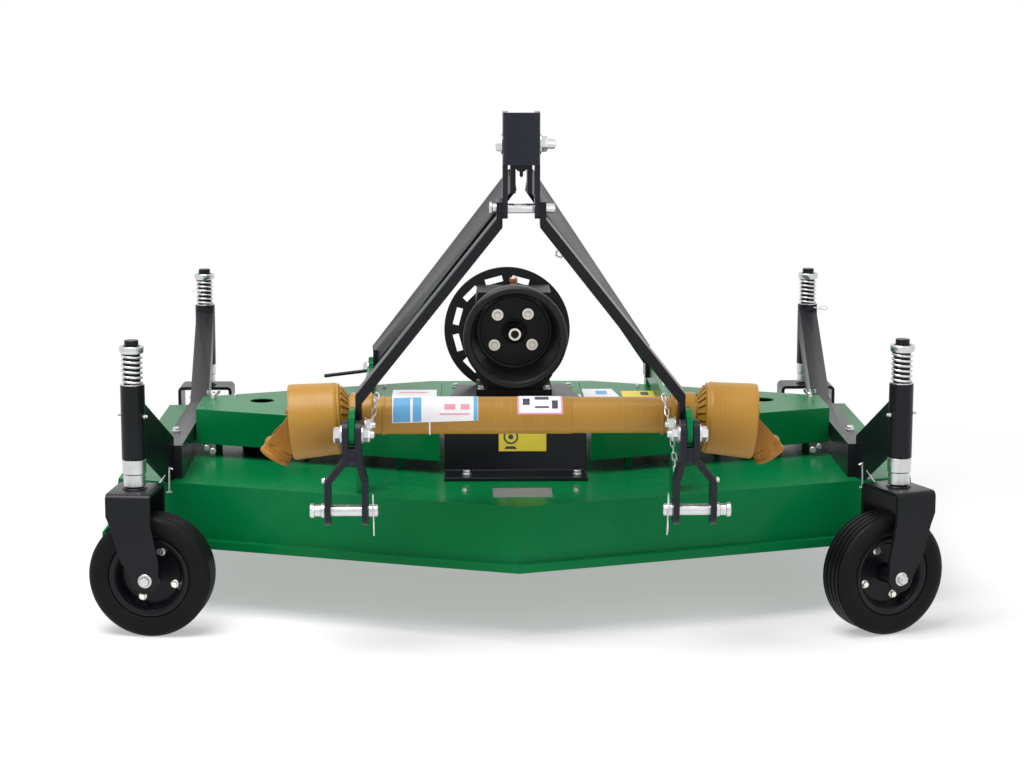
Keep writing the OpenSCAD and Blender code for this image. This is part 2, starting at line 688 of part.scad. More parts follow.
lean = atan2(top_y - arm_bolt_y, top_z - arm_bolt_z);
arm_rise = norm([top_y - arm_bolt_y, top_z - arm_bolt_z]);
module front_arm(side) {
    foot = lug_half - bar_t;
    head = bracket_half + bar_t / 2;
    h = bar_t / 2;
    profile = [[foot + h, -24], [foot + h, 54], [head + h, arm_rise - 18], [head + h, arm_rise + 16],
        [head - h, arm_rise + 16], [head - h, arm_rise - 34], [foot - h, 36], [foot - h, -24]];
    color("black") placed() difference() {
        translate([0, arm_bolt_y, arm_bolt_z]) rotate([-lean, 0, 0])
            front_prism(-arm_w / 2, arm_w / 2, [for (p = profile) [side * p[0], p[1]]]);
        cross(-500, 500, top_y, top_z, top_pin_r + fit);
    }
}
module left_front_arm() front_arm(-1);
module right_front_arm() front_arm(1);

brace_top_z = 958;
brace_in = 16;
module rear_brace(side) {
    foot_x = lug_half - bar_t / 2 - brace_t / 2;
    a = [side * brace_in, top_y + bracket_d / 2 + 8, brace_top_z];
    b = [side * foot_x, brace_y - 20, brace_z + 32];
    color("black") placed() difference() {
        union() {
            block(a[0] - brace_t / 2, a[0] + brace_t / 2, top_y - 18, a[1] + 4,
                brace_top_z - 22, upper_z + 18);
            bar(a, b, brace_t, brace_h);
            block(b[0] - brace_t / 2, b[0] + brace_t / 2, brace_y - 44, brace_y + 24,
                brace_z - 20, brace_z + 46);
        }
        cross(-500, 500, top_y, upper_z, 10 + fit);
    }
}
module left_rear_brace() rear_brace(-1);
module right_rear_brace() rear_brace(1);

module top_bracket() color("dimgray") placed() difference() {
    y0 = top_y - bracket_d / 2;
    lobe_z = top_z + 10;
    union() {
        block(-bracket_half, bracket_half, y0, y0 + bracket_t, upper_z - 39, bracket_z);
        for (s = [-1, 1]) {
            x = s * (bracket_half - bracket_t / 2);
            block(x - bracket_t / 2, x + bracket_t / 2, y0, y0 + bracket_d, lobe_z, bracket_z);
            cross(x - bracket_t / 2, x + bracket_t / 2, top_y, lobe_z, bracket_d / 2);
        }
        cross(-bracket_half - 14, bracket_half + 30, top_y, upper_z, 10);
        cross(-bracket_half - 13, -bracket_half + 1, top_y, upper_z, 16);
        cross(bracket_half - 1, bracket_half + 15, top_y, upper_z, 16);
    }
    cross(-200, 200, top_y, top_z, top_pin_r + fit);
}
module top_pin() color("silver") placed() {
    cross(-62, 66, top_y, top_z, top_pin_r);
    cross(-62, -55, top_y, top_z, 13);
}

// Driveline
neck_r = collar_r - 5;
flare_l = 38;
collar_out = 34;
bell_side = [[stub_r - 4, 8], [neck_r - guard_t, 8], [neck_r - guard_t, flare_l + 2],
    [bell_r - guard_t - 7, bell_in - cone_in + 2], [bell_r - guard_t - bell_taper, bell_in - cone_in + 16],
    [bell_r - guard_t, bell_out - cone_in], [bell_r, bell_out - cone_in],
    [bell_r - bell_taper, bell_in - cone_in + 12],
    [bell_r - 8, bell_in - cone_in], [neck_r, flare_l], [neck_r, 0], [stub_r - 4, 0]];
module at_bell(side) translate([drive_x, 0, 0]) mirror([side < 0 ? 1 : 0, 0, 0])
    translate([cone_in, drive_y, drive_z])
    rotate([0, bell_droop, 0]) children();
module driveline_guard() color("goldenrod") placed() difference() {
    union() {
        cross(drive_x - cone_in - 6, drive_x + cone_in + 6, drive_y, drive_z, tube_r);
        for (side = [-1, 1]) {
            at_bell(side) rotate([0, 90, 0]) rotate_extrude() polygon(bell_side);
            cross(drive_x + (side > 0 ? cone_in - 12 : -cone_in - collar_out),
                drive_x + (side > 0 ? cone_in + collar_out : -cone_in + 12), drive_y, drive_z, collar_r);
        }
    }
    cross(drive_x - cone_in + 60, drive_x + cone_in - 60, drive_y, drive_z, tube_r - guard_t);
    for (side = [-1, 1]) at_bell(side) cross(-40, 80, 0, 0, stub_r + seat);
}
pivot_in = 6;
hub_l = 36;
hub_out = 84;
hub_r = 33;
ear_t = 10;
ear_y = 27;
ear_half = 18;
journal_r = 8;
module yoke(side) color("goldenrod") placed() at_bell(side) translate([bell_out - cone_in - pivot_in, 0, 0]) {
        cross(-bell_out + cone_in, -30, 0, 0, stub_r);
        rotate([0, yoke_droop, 0]) {
            difference() {
                cross(hub_out - hub_l, hub_out, 0, 0, hub_r);
                cross(hub_out - hub_l + 12, hub_out + 6, 0, 0, input_r + 0.1);
            }
            for (s = [-1, 1])
                block(-ear_half, hub_out - hub_l + 2, s * ear_y - ear_t / 2, s * ear_y + ear_t / 2,
                -ear_half, ear_half);
        }
        for (s = [-1, 1]) block(-40, 14, -20, 20, s * 23 - ear_t / 2, s * 23 + ear_t / 2);
        translate([0, 0, -28]) cylinder(h = 56, r = journal_r);
        rotate([90, 0, 0]) translate([0, 0, -ear_y - ear_t / 2])
            cylinder(h = 2 * ear_y + ear_t, r = journal_r);
    }
module left_yoke() yoke(-1);
module right_yoke() yoke(1);

deck();
left_belt_cover();
right_belt_cover();
centre_belt_cover();
gearbox_mount();
gearbox();
input_shield();
input_shaft();
left_front_carrier();
right_front_carrier();
left_side_rail();
right_side_rail();
left_front_fork();
right_front_fork();
left_rear_fork();
right_rear_fork();
left_front_rim();
right_front_rim();
left_rear_rim();
right_rear_rim();
left_front_tyre();
right_front_tyre();
left_rear_tyre();
right_rear_tyre();
left_spindle_housing();
centre_spindle_housing();
right_spindle_housing();
left_blade();
centre_blade();
right_blade();
left_hitch_rail();
right_hitch_rail();
left_clevis();
right_clevis();
left_lower_pin();
right_lower_pin();
left_front_arm();
right_front_arm();
left_rear_brace();
right_rear_brace();
top_bracket();
top_pin();
driveline_guard();
left_yoke();
right_yoke();
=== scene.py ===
# Three-point finish mower, dressed over its CAD frame
import bpy
import bmesh
import json
from math import sin, cos, pi, radians, sqrt
from mathutils import Matrix, Vector

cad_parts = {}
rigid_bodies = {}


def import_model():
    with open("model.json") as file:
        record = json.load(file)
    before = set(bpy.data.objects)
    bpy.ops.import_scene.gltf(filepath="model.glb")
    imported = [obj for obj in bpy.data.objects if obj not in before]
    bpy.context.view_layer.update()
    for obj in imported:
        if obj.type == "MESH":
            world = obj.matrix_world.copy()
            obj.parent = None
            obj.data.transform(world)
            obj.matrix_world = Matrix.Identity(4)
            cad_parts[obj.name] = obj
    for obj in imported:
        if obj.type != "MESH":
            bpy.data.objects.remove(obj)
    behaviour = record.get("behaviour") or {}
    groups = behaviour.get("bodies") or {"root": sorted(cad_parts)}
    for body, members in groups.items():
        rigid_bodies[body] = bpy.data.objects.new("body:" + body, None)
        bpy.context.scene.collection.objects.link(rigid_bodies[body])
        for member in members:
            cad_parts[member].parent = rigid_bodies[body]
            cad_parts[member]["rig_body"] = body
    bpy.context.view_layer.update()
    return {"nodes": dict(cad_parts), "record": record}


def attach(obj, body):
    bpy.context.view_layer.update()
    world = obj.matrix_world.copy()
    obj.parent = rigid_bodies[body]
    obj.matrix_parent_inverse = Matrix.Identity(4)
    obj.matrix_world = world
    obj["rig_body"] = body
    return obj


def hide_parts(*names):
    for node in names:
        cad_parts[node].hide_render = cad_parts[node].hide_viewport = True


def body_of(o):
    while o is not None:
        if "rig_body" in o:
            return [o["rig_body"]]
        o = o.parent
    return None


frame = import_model()
nodes = frame["nodes"]
print("frame loaded:", len(nodes), "nodes")

# Camera, lights and floor: the light is soft and the ground is white
view = {"lens": 84.375, "place": (-0.1084, -5.454, 1.335), "pitch": 9.49, "yaw": -1.13, "roll": 0.07}
studio = {"worldLight": 0.5, "keyPower": 230.0, "fillPower": 30.0, "floorWhite": 0.93, "fadeStart": 1.1,
          "fadeEnd": 2.4}


class Value:
    # A shader socket that adds its own Math nodes when it is used in sums
    def __init__(self, tree, socket):
        self.tree, self.socket = tree, socket

    def math(self, operation, *others):
        return self.tree.add("ShaderNodeMath", {"operation": operation}, dict(enumerate((self,) + others)))

    def __add__(self, other):
        return self.math("ADD", other)

    def __radd__(self, other):
        return self.math("ADD", other)

    def __mul__(self, other):
        return self.math("MULTIPLY", other)

    def __rmul__(self, other):
        return self.math("MULTIPLY", other)

    def between(self, low, high, outLow=0.0, outHigh=1.0):
        return self.tree.add("ShaderNodeMapRange", {"interpolation_type": "SMOOTHSTEP"},
                             {0: self, 1: low, 2: high, 3: outLow, 4: outHigh})


class NodeBook:
    # A node tree whose nodes are added one call at a time
    def __init__(self, tree):
        self.tree = tree

    def add(self, kind, settings=None, inputs=None, output=0):
        node = self.tree.nodes.new(kind)
        for key, value in (settings or {}).items():
            setattr(node, key, value)
        for key, value in (inputs or {}).items():
            if isinstance(value, Value):
                self.tree.links.new(value.socket, node.inputs[key])
            else:
                node.inputs[key].default_value = value
        return Value(self, node.outputs[output])


class Finish(NodeBook):
    # A material in plain steps
    def __init__(self, name):
        self.material = bpy.data.materials.new(name)
        self.material.use_nodes = True
        NodeBook.__init__(self, self.material.node_tree)
        self.tree.nodes.clear()

    def place(self):
        return self.add("ShaderNodeTexCoord", output="Object")

    def noise(self, scale, detail=3.0, rough=0.5, at=None):
        return self.add("ShaderNodeTexNoise", {},
                        {"Vector": at or self.place(), "Scale": scale, "Detail": detail,
                         "Roughness": rough}, "Fac")

    def blendColour(self, mask, first, second):
        inputs = {0: mask}
        inputs[6] = first if isinstance(first, Value) else (*first, 1.0)
        inputs[7] = second if isinstance(second, Value) else (*second, 1.0)
        return self.add("ShaderNodeMix", {"data_type": "RGBA"}, inputs, 2)

    def bump(self, height, strength, distance=0.001):
        return self.add("ShaderNodeBump", {}, {"Height": height, "Strength": strength, "Distance": distance})

    def finish(self, inputs):
        surface = self.add("ShaderNodeBsdfPrincipled", {}, inputs)
        return self.close(surface)

    def close(self, surface):
        out = self.tree.nodes.new("ShaderNodeOutputMaterial")
        self.tree.links.new(surface.socket, out.inputs["Surface"])
        return self.material


def newObject(name, data):
    made = bpy.data.objects.new(name, data)
    bpy.context.collection.objects.link(made)
    return made


def setCamera():
    camera = bpy.data.cameras.new("photoCamera")
    camera.lens = view["lens"]
    camera.sensor_width = 36.0
    camera.clip_end = 200.0
    eye = newObject("photoCamera", camera)
    turn = Matrix.Rotation(radians(view["yaw"]), 4,
                           "Z") @ Matrix.Rotation(radians(90 - view["pitch"]), 4, "X")
    eye.matrix_world = Matrix.Translation(view["place"]) @ turn @ Matrix.Rotation(radians(view["roll"]), 4,
                                                                                  "Z")
    bpy.context.scene.camera = eye


def addLamp(name, power, size, place, target):
    lamp = bpy.data.lights.new(name, "AREA")
    lamp.energy, lamp.size = power, size
    lampObject = newObject(name, lamp)
    lampObject.location = place
    lampObject.rotation_euler = (Vector(target) - Vector(place)).to_track_quat("-Z", "Y").to_euler()


def setStudio():
    world = bpy.data.worlds.new("paleStudio")
    bpy.context.scene.world = world
    world.use_nodes = True
    sky = NodeBook(world.node_tree)
    sky.tree.nodes.clear()
    light = sky.add("ShaderNodeBackground", {}, {0: (1.0, 1.0, 1.0, 1.0), 1: studio["worldLight"]})
    seen = sky.add("ShaderNodeBackground", {}, {0: (1.0, 1.0, 1.0, 1.0)})
    camera = sky.add("ShaderNodeLightPath", output="Is Camera Ray")
    glossy = sky.add("ShaderNodeLightPath", output="Is Glossy Ray")
    choose = sky.add("ShaderNodeMixShader", {}, {0: camera.math("MAXIMUM", glossy), 1: light, 2: seen})
    out = sky.tree.nodes.new("ShaderNodeOutputWorld")
    sky.tree.links.new(choose.socket, out.inputs[0])
    addLamp("keyLamp", studio["keyPower"], 3.0, (-1.2, -1.6, 4.2), (0, 0, 0.3))
    addLamp("fillLamp", studio["fillPower"], 2.5, (2.4, -4.0, 2.2), (0, 0, 0.4))
    bpy.context.scene.view_settings.view_transform = "Standard"
    floorMesh = bpy.data.meshes.new("studioFloor")
    half = 60.0
    floorMesh.from_pydata([(-half, -half, 0), (half, -half, 0), (half, half, 0), (-half, half, 0)], [],
                          [(0, 1, 2, 3)])
    floor = newObject("studioFloor", floorMesh)
    paper = Finish("studioPaper")
    place = paper.place()
    far = paper.add("ShaderNodeVectorMath", {"operation": "LENGTH"}, {0: place}, "Value")
    mask = far.between(studio["fadeStart"], studio["fadeEnd"], 0.4, 1.0)
    white = studio["floorWhite"]
    matt = paper.add("ShaderNodeBsdfDiffuse", {}, {"Color": (white, white, white, 1.0)})
    glow = paper.add("ShaderNodeEmission", {}, {"Color": (1.0, 1.0, 1.0, 1.0), "Strength": 1.0})
    floorMesh.materials.append(paper.close(paper.add("ShaderNodeMixShader", {}, {0: mask, 1: matt, 2: glow})))


setCamera()
setStudio()
print("camera and studio set")


# Finishes
def makeDeckGreen():
    paint = Finish("deckGreen")
    broad = paint.noise(2.4, 2.0)
    grain = paint.noise(420.0, 2.0)
    dust = paint.noise(9.0, 6.0, 0.62).between(0.52, 0.78)
    colour = paint.blendColour(broad.between(0.3, 0.7), (0.0, 0.118, 0.030), (0.001, 0.150, 0.043))
    colour = paint.blendColour(dust * 0.03, colour, (0.16, 0.24, 0.17))
    return paint.finish({"Base Color": colour, "Roughness": 0.24 + 0.05 * dust + 0.05 * grain,
                         "Coat Weight": 0.04, "Coat Roughness": 0.08, "Specular IOR Level": 0.07,
                         "Normal": paint.bump(grain, 0.04, 0.0004)})


def makeBlack(name, dark, light, shine):
    paint = Finish(name)
    broad = paint.noise(5.0, 3.0)
    grain = paint.noise(500.0, 2.0)
    colour = paint.blendColour(broad, dark, light)
    return paint.finish({"Base Color": colour, "Roughness": 0.22 + 0.14 * broad, "Specular IOR Level": shine,
                         "Normal": paint.bump(grain, 0.15, 0.0006)})


def makeCastBlack():
    paint = Finish("castBlack")
    sand = paint.noise(260.0, 5.0, 0.65)
    broad = paint.noise(12.0, 3.0)
    colour = paint.blendColour(broad, (0.004, 0.0045, 0.005), (0.010, 0.011, 0.012))
    return paint.finish({"Base Color": colour, "Roughness": 0.33 + 0.2 * broad, "Specular IOR Level": 0.25,
                         "Normal": paint.bump(sand, 0.4, 0.0012)})


def makeTyreRubber():
    rubber = Finish("tyreRubber")
    fine = rubber.noise(340.0, 3.0)
    dust = rubber.noise(24.0, 5.0).between(0.45, 0.75)
    colour = rubber.blendColour(dust * 0.3, (0.0035, 0.0035, 0.004), (0.012, 0.0115, 0.011))
    return rubber.finish({"Base Color": colour, "Roughness": 0.45 + 0.2 * dust, "Specular IOR Level": 0.12,
                          "Normal": rubber.bump(fine, 0.2, 0.0008)})


def makeZinc():
    metal = Finish("zincPlate")
    broad = metal.noise(60.0, 4.0)
    fine = metal.noise(600.0, 2.0)
    colour = metal.blendColour(broad, (0.50, 0.51, 0.53), (0.72, 0.72, 0.72))
    return metal.finish({"Base Color": colour, "Metallic": 1.0, "Roughness": 0.22 + 0.2 * broad,
                         "Normal": metal.bump(fine, 0.12, 0.0004)})


def makeBronze():
    metal = Finish("breatherBronze")
    broad = metal.noise(90.0, 3.0)
    colour = metal.blendColour(broad, (0.46, 0.24, 0.12), (0.62, 0.36, 0.20))
    return metal.finish({"Base Color": colour, "Metallic": 1.0, "Roughness": 0.28 + 0.2 * broad})


def makeOchre(name, dark, light):
    plastic = Finish(name)
    broad = plastic.noise(4.0, 3.0)
    lengthwise = plastic.add("ShaderNodeVectorMath", {"operation": "MULTIPLY"},
                             {0: plastic.place(), 1: (1.0, 0.03, 0.03)})
    turning = plastic.noise(420.0, 3.0, 0.6, lengthwise)
    scuff = plastic.noise(36.0, 6.0, 0.7).between(0.55, 0.8)
    colour = plastic.blendColour(broad.between(0.3, 0.7), dark, light)
    colour = plastic.blendColour(turning.between(0.5, 0.8) * 0.25 + scuff * 0.1, colour, (0.50, 0.33, 0.12))
    return plastic.finish({"Base Color": colour, "Roughness": 0.36 + 0.16 * scuff, "Specular IOR Level": 0.25,
                           "Normal": plastic.bump(turning, 0.2, 0.0006)})


def makePlain(name, colour, rough=0.4, metal=0.0):
    # Printed film, plates and straps: one colour, slightly uneven
    film = Finish(name)
    uneven = film.noise(30.0, 3.0)
    paler = tuple(0.8 * part + 0.06 for part in colour)
    return film.finish({"Base Color": film.blendColour(uneven, colour, paler),
                        "Roughness": rough + 0.1 * uneven, "Metallic": metal, "Specular IOR Level": 0.3})


hitchBlack = makeBlack("hitchBlack", (0.0035, 0.004, 0.0052), (0.008, 0.009, 0.012), 0.2)
slateBlack = makeBlack("slateBlack", (0.010, 0.011, 0.0165), (0.016, 0.0175, 0.026), 0.18)
guardOchre, bronze = makeOchre("guardOchre", (0.31, 0.155, 0.020), (0.38, 0.200, 0.032)), makeBronze()
yokeOchre = makeOchre("yokeOchre", (0.26, 0.105, 0.006), (0.33, 0.145, 0.014))
whiteFilm, blueFilm = makePlain("whiteFilm", (0.82, 0.82, 0.84)), makePlain("blueFilm", (0.09, 0.36, 0.62))
yellowFilm, pinkFilm = makePlain("yellowFilm", (0.80, 0.62, 0.03)), makePlain("pinkFilm", (0.72, 0.28, 0.34))
paleZinc = makePlain("paleZinc", (0.97, 0.94, 0.85), 0.3, 1.0)
darkPrint, plateAlloy = makePlain("darkPrint",
                                  (0.02, 0.02, 0.05)), makePlain("plateAlloy", (0.34, 0.36, 0.38), 0.35,
                                                                 0.7)
finishes = {"green_paint": makeDeckGreen(), "black_paint": hitchBlack, "tyre_rubber": makeTyreRubber(),
            "zinc": makeZinc(), "castings": makeCastBlack(), "blade_steel": hitchBlack,
            "driveline_plastic": guardOchre, "yoke_paint": yokeOchre}
for part in frame["record"]["subparts"]:
    node = nodes[part["node"]]
    node.data.materials.clear()
    node.data.materials.append(finishes[part["material_slot"]])
print("finishes made:", len(finishes))


# Drawing sizes are millimetres, and the drawing stands further forward in the frame
shift = -144.0
# Heights of the deck, mount flange, rail, cover and gearbox foot, and the mount's front face
level = {"deck": 282, "flange": 290, "rail": 355, "cover": 390, "foot": 444, "mountFront": -195}


def at(x, y, z):
    return Vector((x, y + shift, z))


class Shape:
    # A mesh put together from turned, sawn and bent stock, in millimetres
    def __init__(self):
        self.mesh = bmesh.new()

    def stitch(self, rows, closedRow=True, closedAll=False, capEnds=False):
        grid = [[self.mesh.verts.new(point) for point in row] for row in rows]
        count = len(grid[0])
        pairs = list(zip(grid, grid[1:])) + ([(grid[-1], grid[0])] if closedAll else [])
        for first, second in pairs:
            for i in range(count if closedRow else count - 1):
                j = (i + 1) % count
                self.mesh.faces.new((first[i], first[j], second[j], second[i]))
        if capEnds:
            self.mesh.faces.new(grid[0])
            self.mesh.faces.new(grid[-1])

    def turned(self, outline, turn=Matrix(), steps=64):
        # A closed outline of (radius, height) turned round the local Z axis
        rows = []
        for step in range(steps):
            angle = 2 * pi * step / steps
            rows.append([turn @ Vector((r * cos(angle), r * sin(angle), h)) for r, h in outline])
        self.stitch(rows, True, True)

    def sawn(self, outline, low, high, turn=Matrix()):
        # An outline in the local XY plane, low to high along Z
        self.stitch([[turn @ Vector((x, y, z)) for x, y in outline] for z in (low, high)], True, False, True)

    def bent(self, path, radius, sides=12, turn=Matrix()):
        # Round bar along a path
        points = [Vector(point) for point in path]
        rows = []
        side = None
        for i, point in enumerate(points):
            ahead = (points[min(i + 1, len(points) - 1)] - points[max(i - 1, 0)]).normalized()
            if side is None:
                side = ahead.orthogonal().normalized()
            side = (side - ahead * side.dot(ahead)).normalized()
            other = ahead.cross(side)
            rows.append([turn
                         @ (point
                            + radius * (side * cos(2 * pi * k / sides) + other * sin(2 * pi * k / sides)))
                         for k in range(sides)])
        self.stitch(rows, True, False, True)

    def hexagon(self, flats, low, high, turn=Matrix()):
        corner = flats / sqrt(3)
        chamfer = min(0.12 * flats, 0.4 * (high - low))
        rows = [[turn @ Vector((r * cos(pi * k / 3), r * sin(pi * k / 3), h)) for k in range(6)]
                for r, h in ((corner, low), (corner, high - chamfer), (corner * 0.88, high))]
        self.stitch(rows, True, False, True)

    def made(self, name, material, bevel=0.0, smooth=35.0):
        bmesh.ops.remove_doubles(self.mesh, verts=self.mesh.verts, dist=0.001)
        bmesh.ops.recalc_face_normals(self.mesh, faces=self.mesh.faces)
        bmesh.ops.scale(self.mesh, vec=(0.001, 0.001, 0.001), verts=self.mesh.verts)
        data = bpy.data.meshes.new(name)
        self.mesh.to_mesh(data)
        self.mesh.free()
        data.materials.append(material)
        data.polygons.foreach_set("use_smooth", [True] * len(data.polygons))
        data.set_sharp_from_angle(angle=radians(smooth))
        piece = newObject(name, data)
        if bevel:
            addBevel(piece, bevel)
        return piece


def addBevel(piece, width):
    bevel = piece.modifiers.new("softEdges", "BEVEL")
    bevel.width, bevel.segments, bevel.limit_method = width / 1000.0, 2, "ANGLE"
    bevel.angle_limit, bevel.harden_normals = radians(30), True


def fitTo(piece, body, slotName, *replaced):
    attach(piece, body)
    if replaced:
        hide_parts(*replaced)
    return piece


def turnZTo(direction, at=(0, 0, 0), spin=0.0):
    turn = Vector(direction).normalized().to_track_quat("Z", "Y").to_matrix().to_4x4()
    return Matrix.Translation(at) @ turn @ Matrix.Rotation(spin, 4, "Z")


# Geometry trees: one sets a piece out on points, one winds a spring, one hangs a chain
def newTree(name, sizes):
    tree = bpy.data.node_groups.new(name, "GeometryNodeTree")
    tree.interface.new_socket("Geometry", in_out="INPUT", socket_type="NodeSocketGeometry")
    sockets = {}
    for label, kind in sizes.items():
        sockets[label] = tree.interface.new_socket(label, in_out="INPUT",
                                                   socket_type="NodeSocket" + kind).identifier
    tree.interface.new_socket("Geometry", in_out="OUTPUT", socket_type="NodeSocketGeometry")
    book = NodeBook(tree)
    source = tree.nodes.new("NodeGroupInput")
    given = {socket.name: Value(book, socket) for socket in source.outputs if socket.name}
    return tree, book, given, sockets


def endTree(book, geometry, material):
    real = book.add("GeometryNodeRealizeInstances", {}, {0: geometry})
    dressed = book.add("GeometryNodeSetMaterial", {}, {"Geometry": real, "Material": material})
    out = book.tree.nodes.new("NodeGroupOutput")
    book.tree.links.new(dressed.socket, out.inputs[0])


def makeSetOutTree():
    tree, book, given, sockets = newTree("setOutOnPoints", {"Piece": "Object", "Finish": "Material"})
    facing = book.add("GeometryNodeInputNamedAttribute", {"data_type": "FLOAT_VECTOR"}, {"Name": "facing"})
    along = book.add("GeometryNodeInputNamedAttribute", {"data_type": "FLOAT_VECTOR"}, {"Name": "along"})
    size = book.add("GeometryNodeInputNamedAttribute", {"data_type": "FLOAT"}, {"Name": "size"})
    up = book.add("FunctionNodeAlignRotationToVector", {"axis": "Z"}, {"Vector": facing})
    turn = book.add("FunctionNodeAlignRotationToVector", {"axis": "X", "pivot_axis": "Z"},
                    {"Rotation": up, "Vector": along})
    piece = book.add("GeometryNodeObjectInfo", {}, {"Object": given["Piece"]}, "Geometry")
    spread = book.add("GeometryNodeInstanceOnPoints", {},
                      {"Points": given["Geometry"], "Instance": piece, "Rotation": turn, "Scale": size})
    endTree(book, spread, given["Finish"])
    return tree, sockets


def makeSpringTree():
    tree, book, given, sockets = newTree("woundSpring",
                                         {"Turns": "Float", "Radius": "Float", "Height": "Float",
                                          "Wire": "Float", "Finish": "Material"})
    coil = book.add("GeometryNodeCurveSpiral", {},
                    {"Resolution": 28, "Rotations": given["Turns"], "Start Radius": given["Radius"],
                     "End Radius": given["Radius"], "Height": given["Height"]})
    wire = book.add("GeometryNodeCurvePrimitiveCircle", {}, {"Resolution": 10, "Radius": given["Wire"]})
    body = book.add("GeometryNodeCurveToMesh", {}, {"Curve": coil, "Profile Curve": wire, "Fill Caps": True})
    smooth = book.add("GeometryNodeSetShadeSmooth", {}, {"Geometry": body})
    spread = book.add("GeometryNodeInstanceOnPoints", {}, {"Points": given["Geometry"], "Instance": smooth})
    endTree(book, spread, given["Finish"])
    return tree, sockets


def makeChainTree():
    tree, book, given, sockets = newTree("hungChain",
                                         {"Links": "Int", "Piece": "Object", "Finish": "Material"})
    path = book.add("GeometryNodeMeshToCurve", {}, {"Mesh": given["Geometry"]})
    steps = book.tree.nodes.new("GeometryNodeCurveToPoints")
    book.tree.links.new(path.socket, steps.inputs["Curve"])
    book.tree.links.new(given["Links"].socket, steps.inputs["Count"])
    index = book.add("GeometryNodeInputIndex")
    quarter = index.math("MODULO", 2.0) * (pi / 2)
    twist = book.add("FunctionNodeAxisAngleToRotation", {}, {"Axis": (0.0, 0.0, 1.0), "Angle": quarter})
    turn = book.add("FunctionNodeRotateRotation", {"rotation_space": "LOCAL"},
                    {"Rotation": Value(book, steps.outputs["Rotation"]), "Rotate By": twist})
    piece = book.add("GeometryNodeObjectInfo", {}, {"Object": given["Piece"]}, "Geometry")
    spread = book.add("GeometryNodeInstanceOnPoints", {}, {"Points": Value(book, steps.outputs["Points"]),
                                                           "Instance": piece, "Rotation": turn})
    endTree(book, spread, given["Finish"])
    return tree, sockets


setOutTree, springTree, chainTree = makeSetOutTree(), makeSpringTree(), makeChainTree()


def grow(name, points, edges, attributes, tree, values):
    # Runs a tree on points and keeps the plain mesh
    data = bpy.data.meshes.new(name + "Points")
    data.from_pydata([tuple(Vector(point) / 1000.0) for point in points], edges, [])
    for label, kind, entries in attributes:
        layer = data.attributes.new(label, kind, "POINT")
        if kind == "FLOAT":
            layer.data.foreach_set("value", entries)
        else:
            layer.data.foreach_set("vector",
                                   [part for entry in entries for part in Vector(entry).normalized()])
    seed = newObject(name + "Points", data)
    modifier = seed.modifiers.new("grow", "NODES")
    modifier.node_group = tree[0]
    for label, value in values.items():
        modifier[tree[1][label]] = value
    bpy.context.view_layer.update()
    graph = bpy.context.evaluated_depsgraph_get()
    grown = bpy.data.meshes.new_from_object(seed.evaluated_get(graph))
    grown.name = name
    bpy.data.objects.remove(seed)
    return newObject(name, grown)


def setOut(name, template, spots, finish, body="frame", slotName="zinc"):
    # Copies of a template, made one piece; spots are (place, facing, along, size)
    places, facings, alongs, sizes = zip(*spots)
    attributes = [("facing", "FLOAT_VECTOR", facings), ("along", "FLOAT_VECTOR", alongs),
                  ("size", "FLOAT", sizes)]
    piece = grow(name, places, [], attributes, setOutTree, {"Piece": template, "Finish": finish})
    return fitTo(piece, body, slotName)


zinc, rubber, cast = finishes["zinc"], finishes["tyre_rubber"], finishes["castings"]

# Templates that are set out later and then taken away
boltHead = Shape()
boltHead.turned([(0, 0), (9.5, 0), (9.5, 1.4), (8.6, 2.0), (0, 2.0)], steps=24)
boltHead.hexagon(13.0, 2.0, 8.0)
boltHead = boltHead.made("boltHead", zinc, smooth=25)
nutAndEnd = Shape()
nutAndEnd.turned([(0, 0), (9.5, 0), (9.5, 1.4), (8.6, 2.0), (0, 2.0)], steps=24)
nutAndEnd.hexagon(13.0, 2.0, 8.5)
nutAndEnd.turned([(0, 8), (3.8, 8), (3.8, 12.2), (3.0, 13.0), (0, 13.0)], steps=16)
nutAndEnd = nutAndEnd.made("nutAndEnd", zinc, smooth=25)
chainLink = Shape()
ovalPath = [(4.2 * sin(2 * pi * k / 16), 0, (4.4 if cos(2 * pi * k / 16) > 0 else -4.4)
             + 4.2 * cos(2 * pi * k / 16)) for k in range(17)]
chainLink.bent(ovalPath, 1.35, 8)
chainLink = chainLink.made("chainLink", zinc)
templates = [boltHead, nutAndEnd, chainLink]


# Castors: bent fork plates, stems with springs, split rims and ribbed tyres
castor = {"trail": 33.0, "hub": 127.0, "halfWidth": 69.0, "top": 306.0, "plate": 8.0, "bend": 12.0,
          "half": 46.0, "springRadius": 19.6, "wire": 2.7, "turns": 5.6, "boltCircle": 52.0,
          "boltTurn": -23.0, "sleeveDrop": 93.0, "sleeve": 154.0, "axleEnd": 69.3, "springHeight": 58.0}
corners = {"left_front": (-790, -450, 615, -6), "right_front": (790, -450, 615, 203),
           "left_rear": (-780, 852, 607, 90), "right_rear": (780, 852, 607, 90)}
legEdges = {"right": [(127, 61), (167, 61), (242, 46), (306, 46)],
            "left": [(127, 5), (177, -21), (234, -36), (260, -46), (306, -46)]}


def follow(table, z):
    for (z0, x0), (z1, x1) in zip(table, table[1:]):
        if z <= z1:
            return x0 + (x1 - x0) * (z - z0) / (z1 - z0)
    return table[-1][1]


def legSpan(z):
    if z < castor["hub"]:
        reach = sqrt(max(28.0 ** 2 - (castor["hub"] - z) ** 2, 0.0))
        return castor["trail"] - reach, castor["trail"] + reach
    return follow(legEdges["left"], z), follow(legEdges["right"], z)


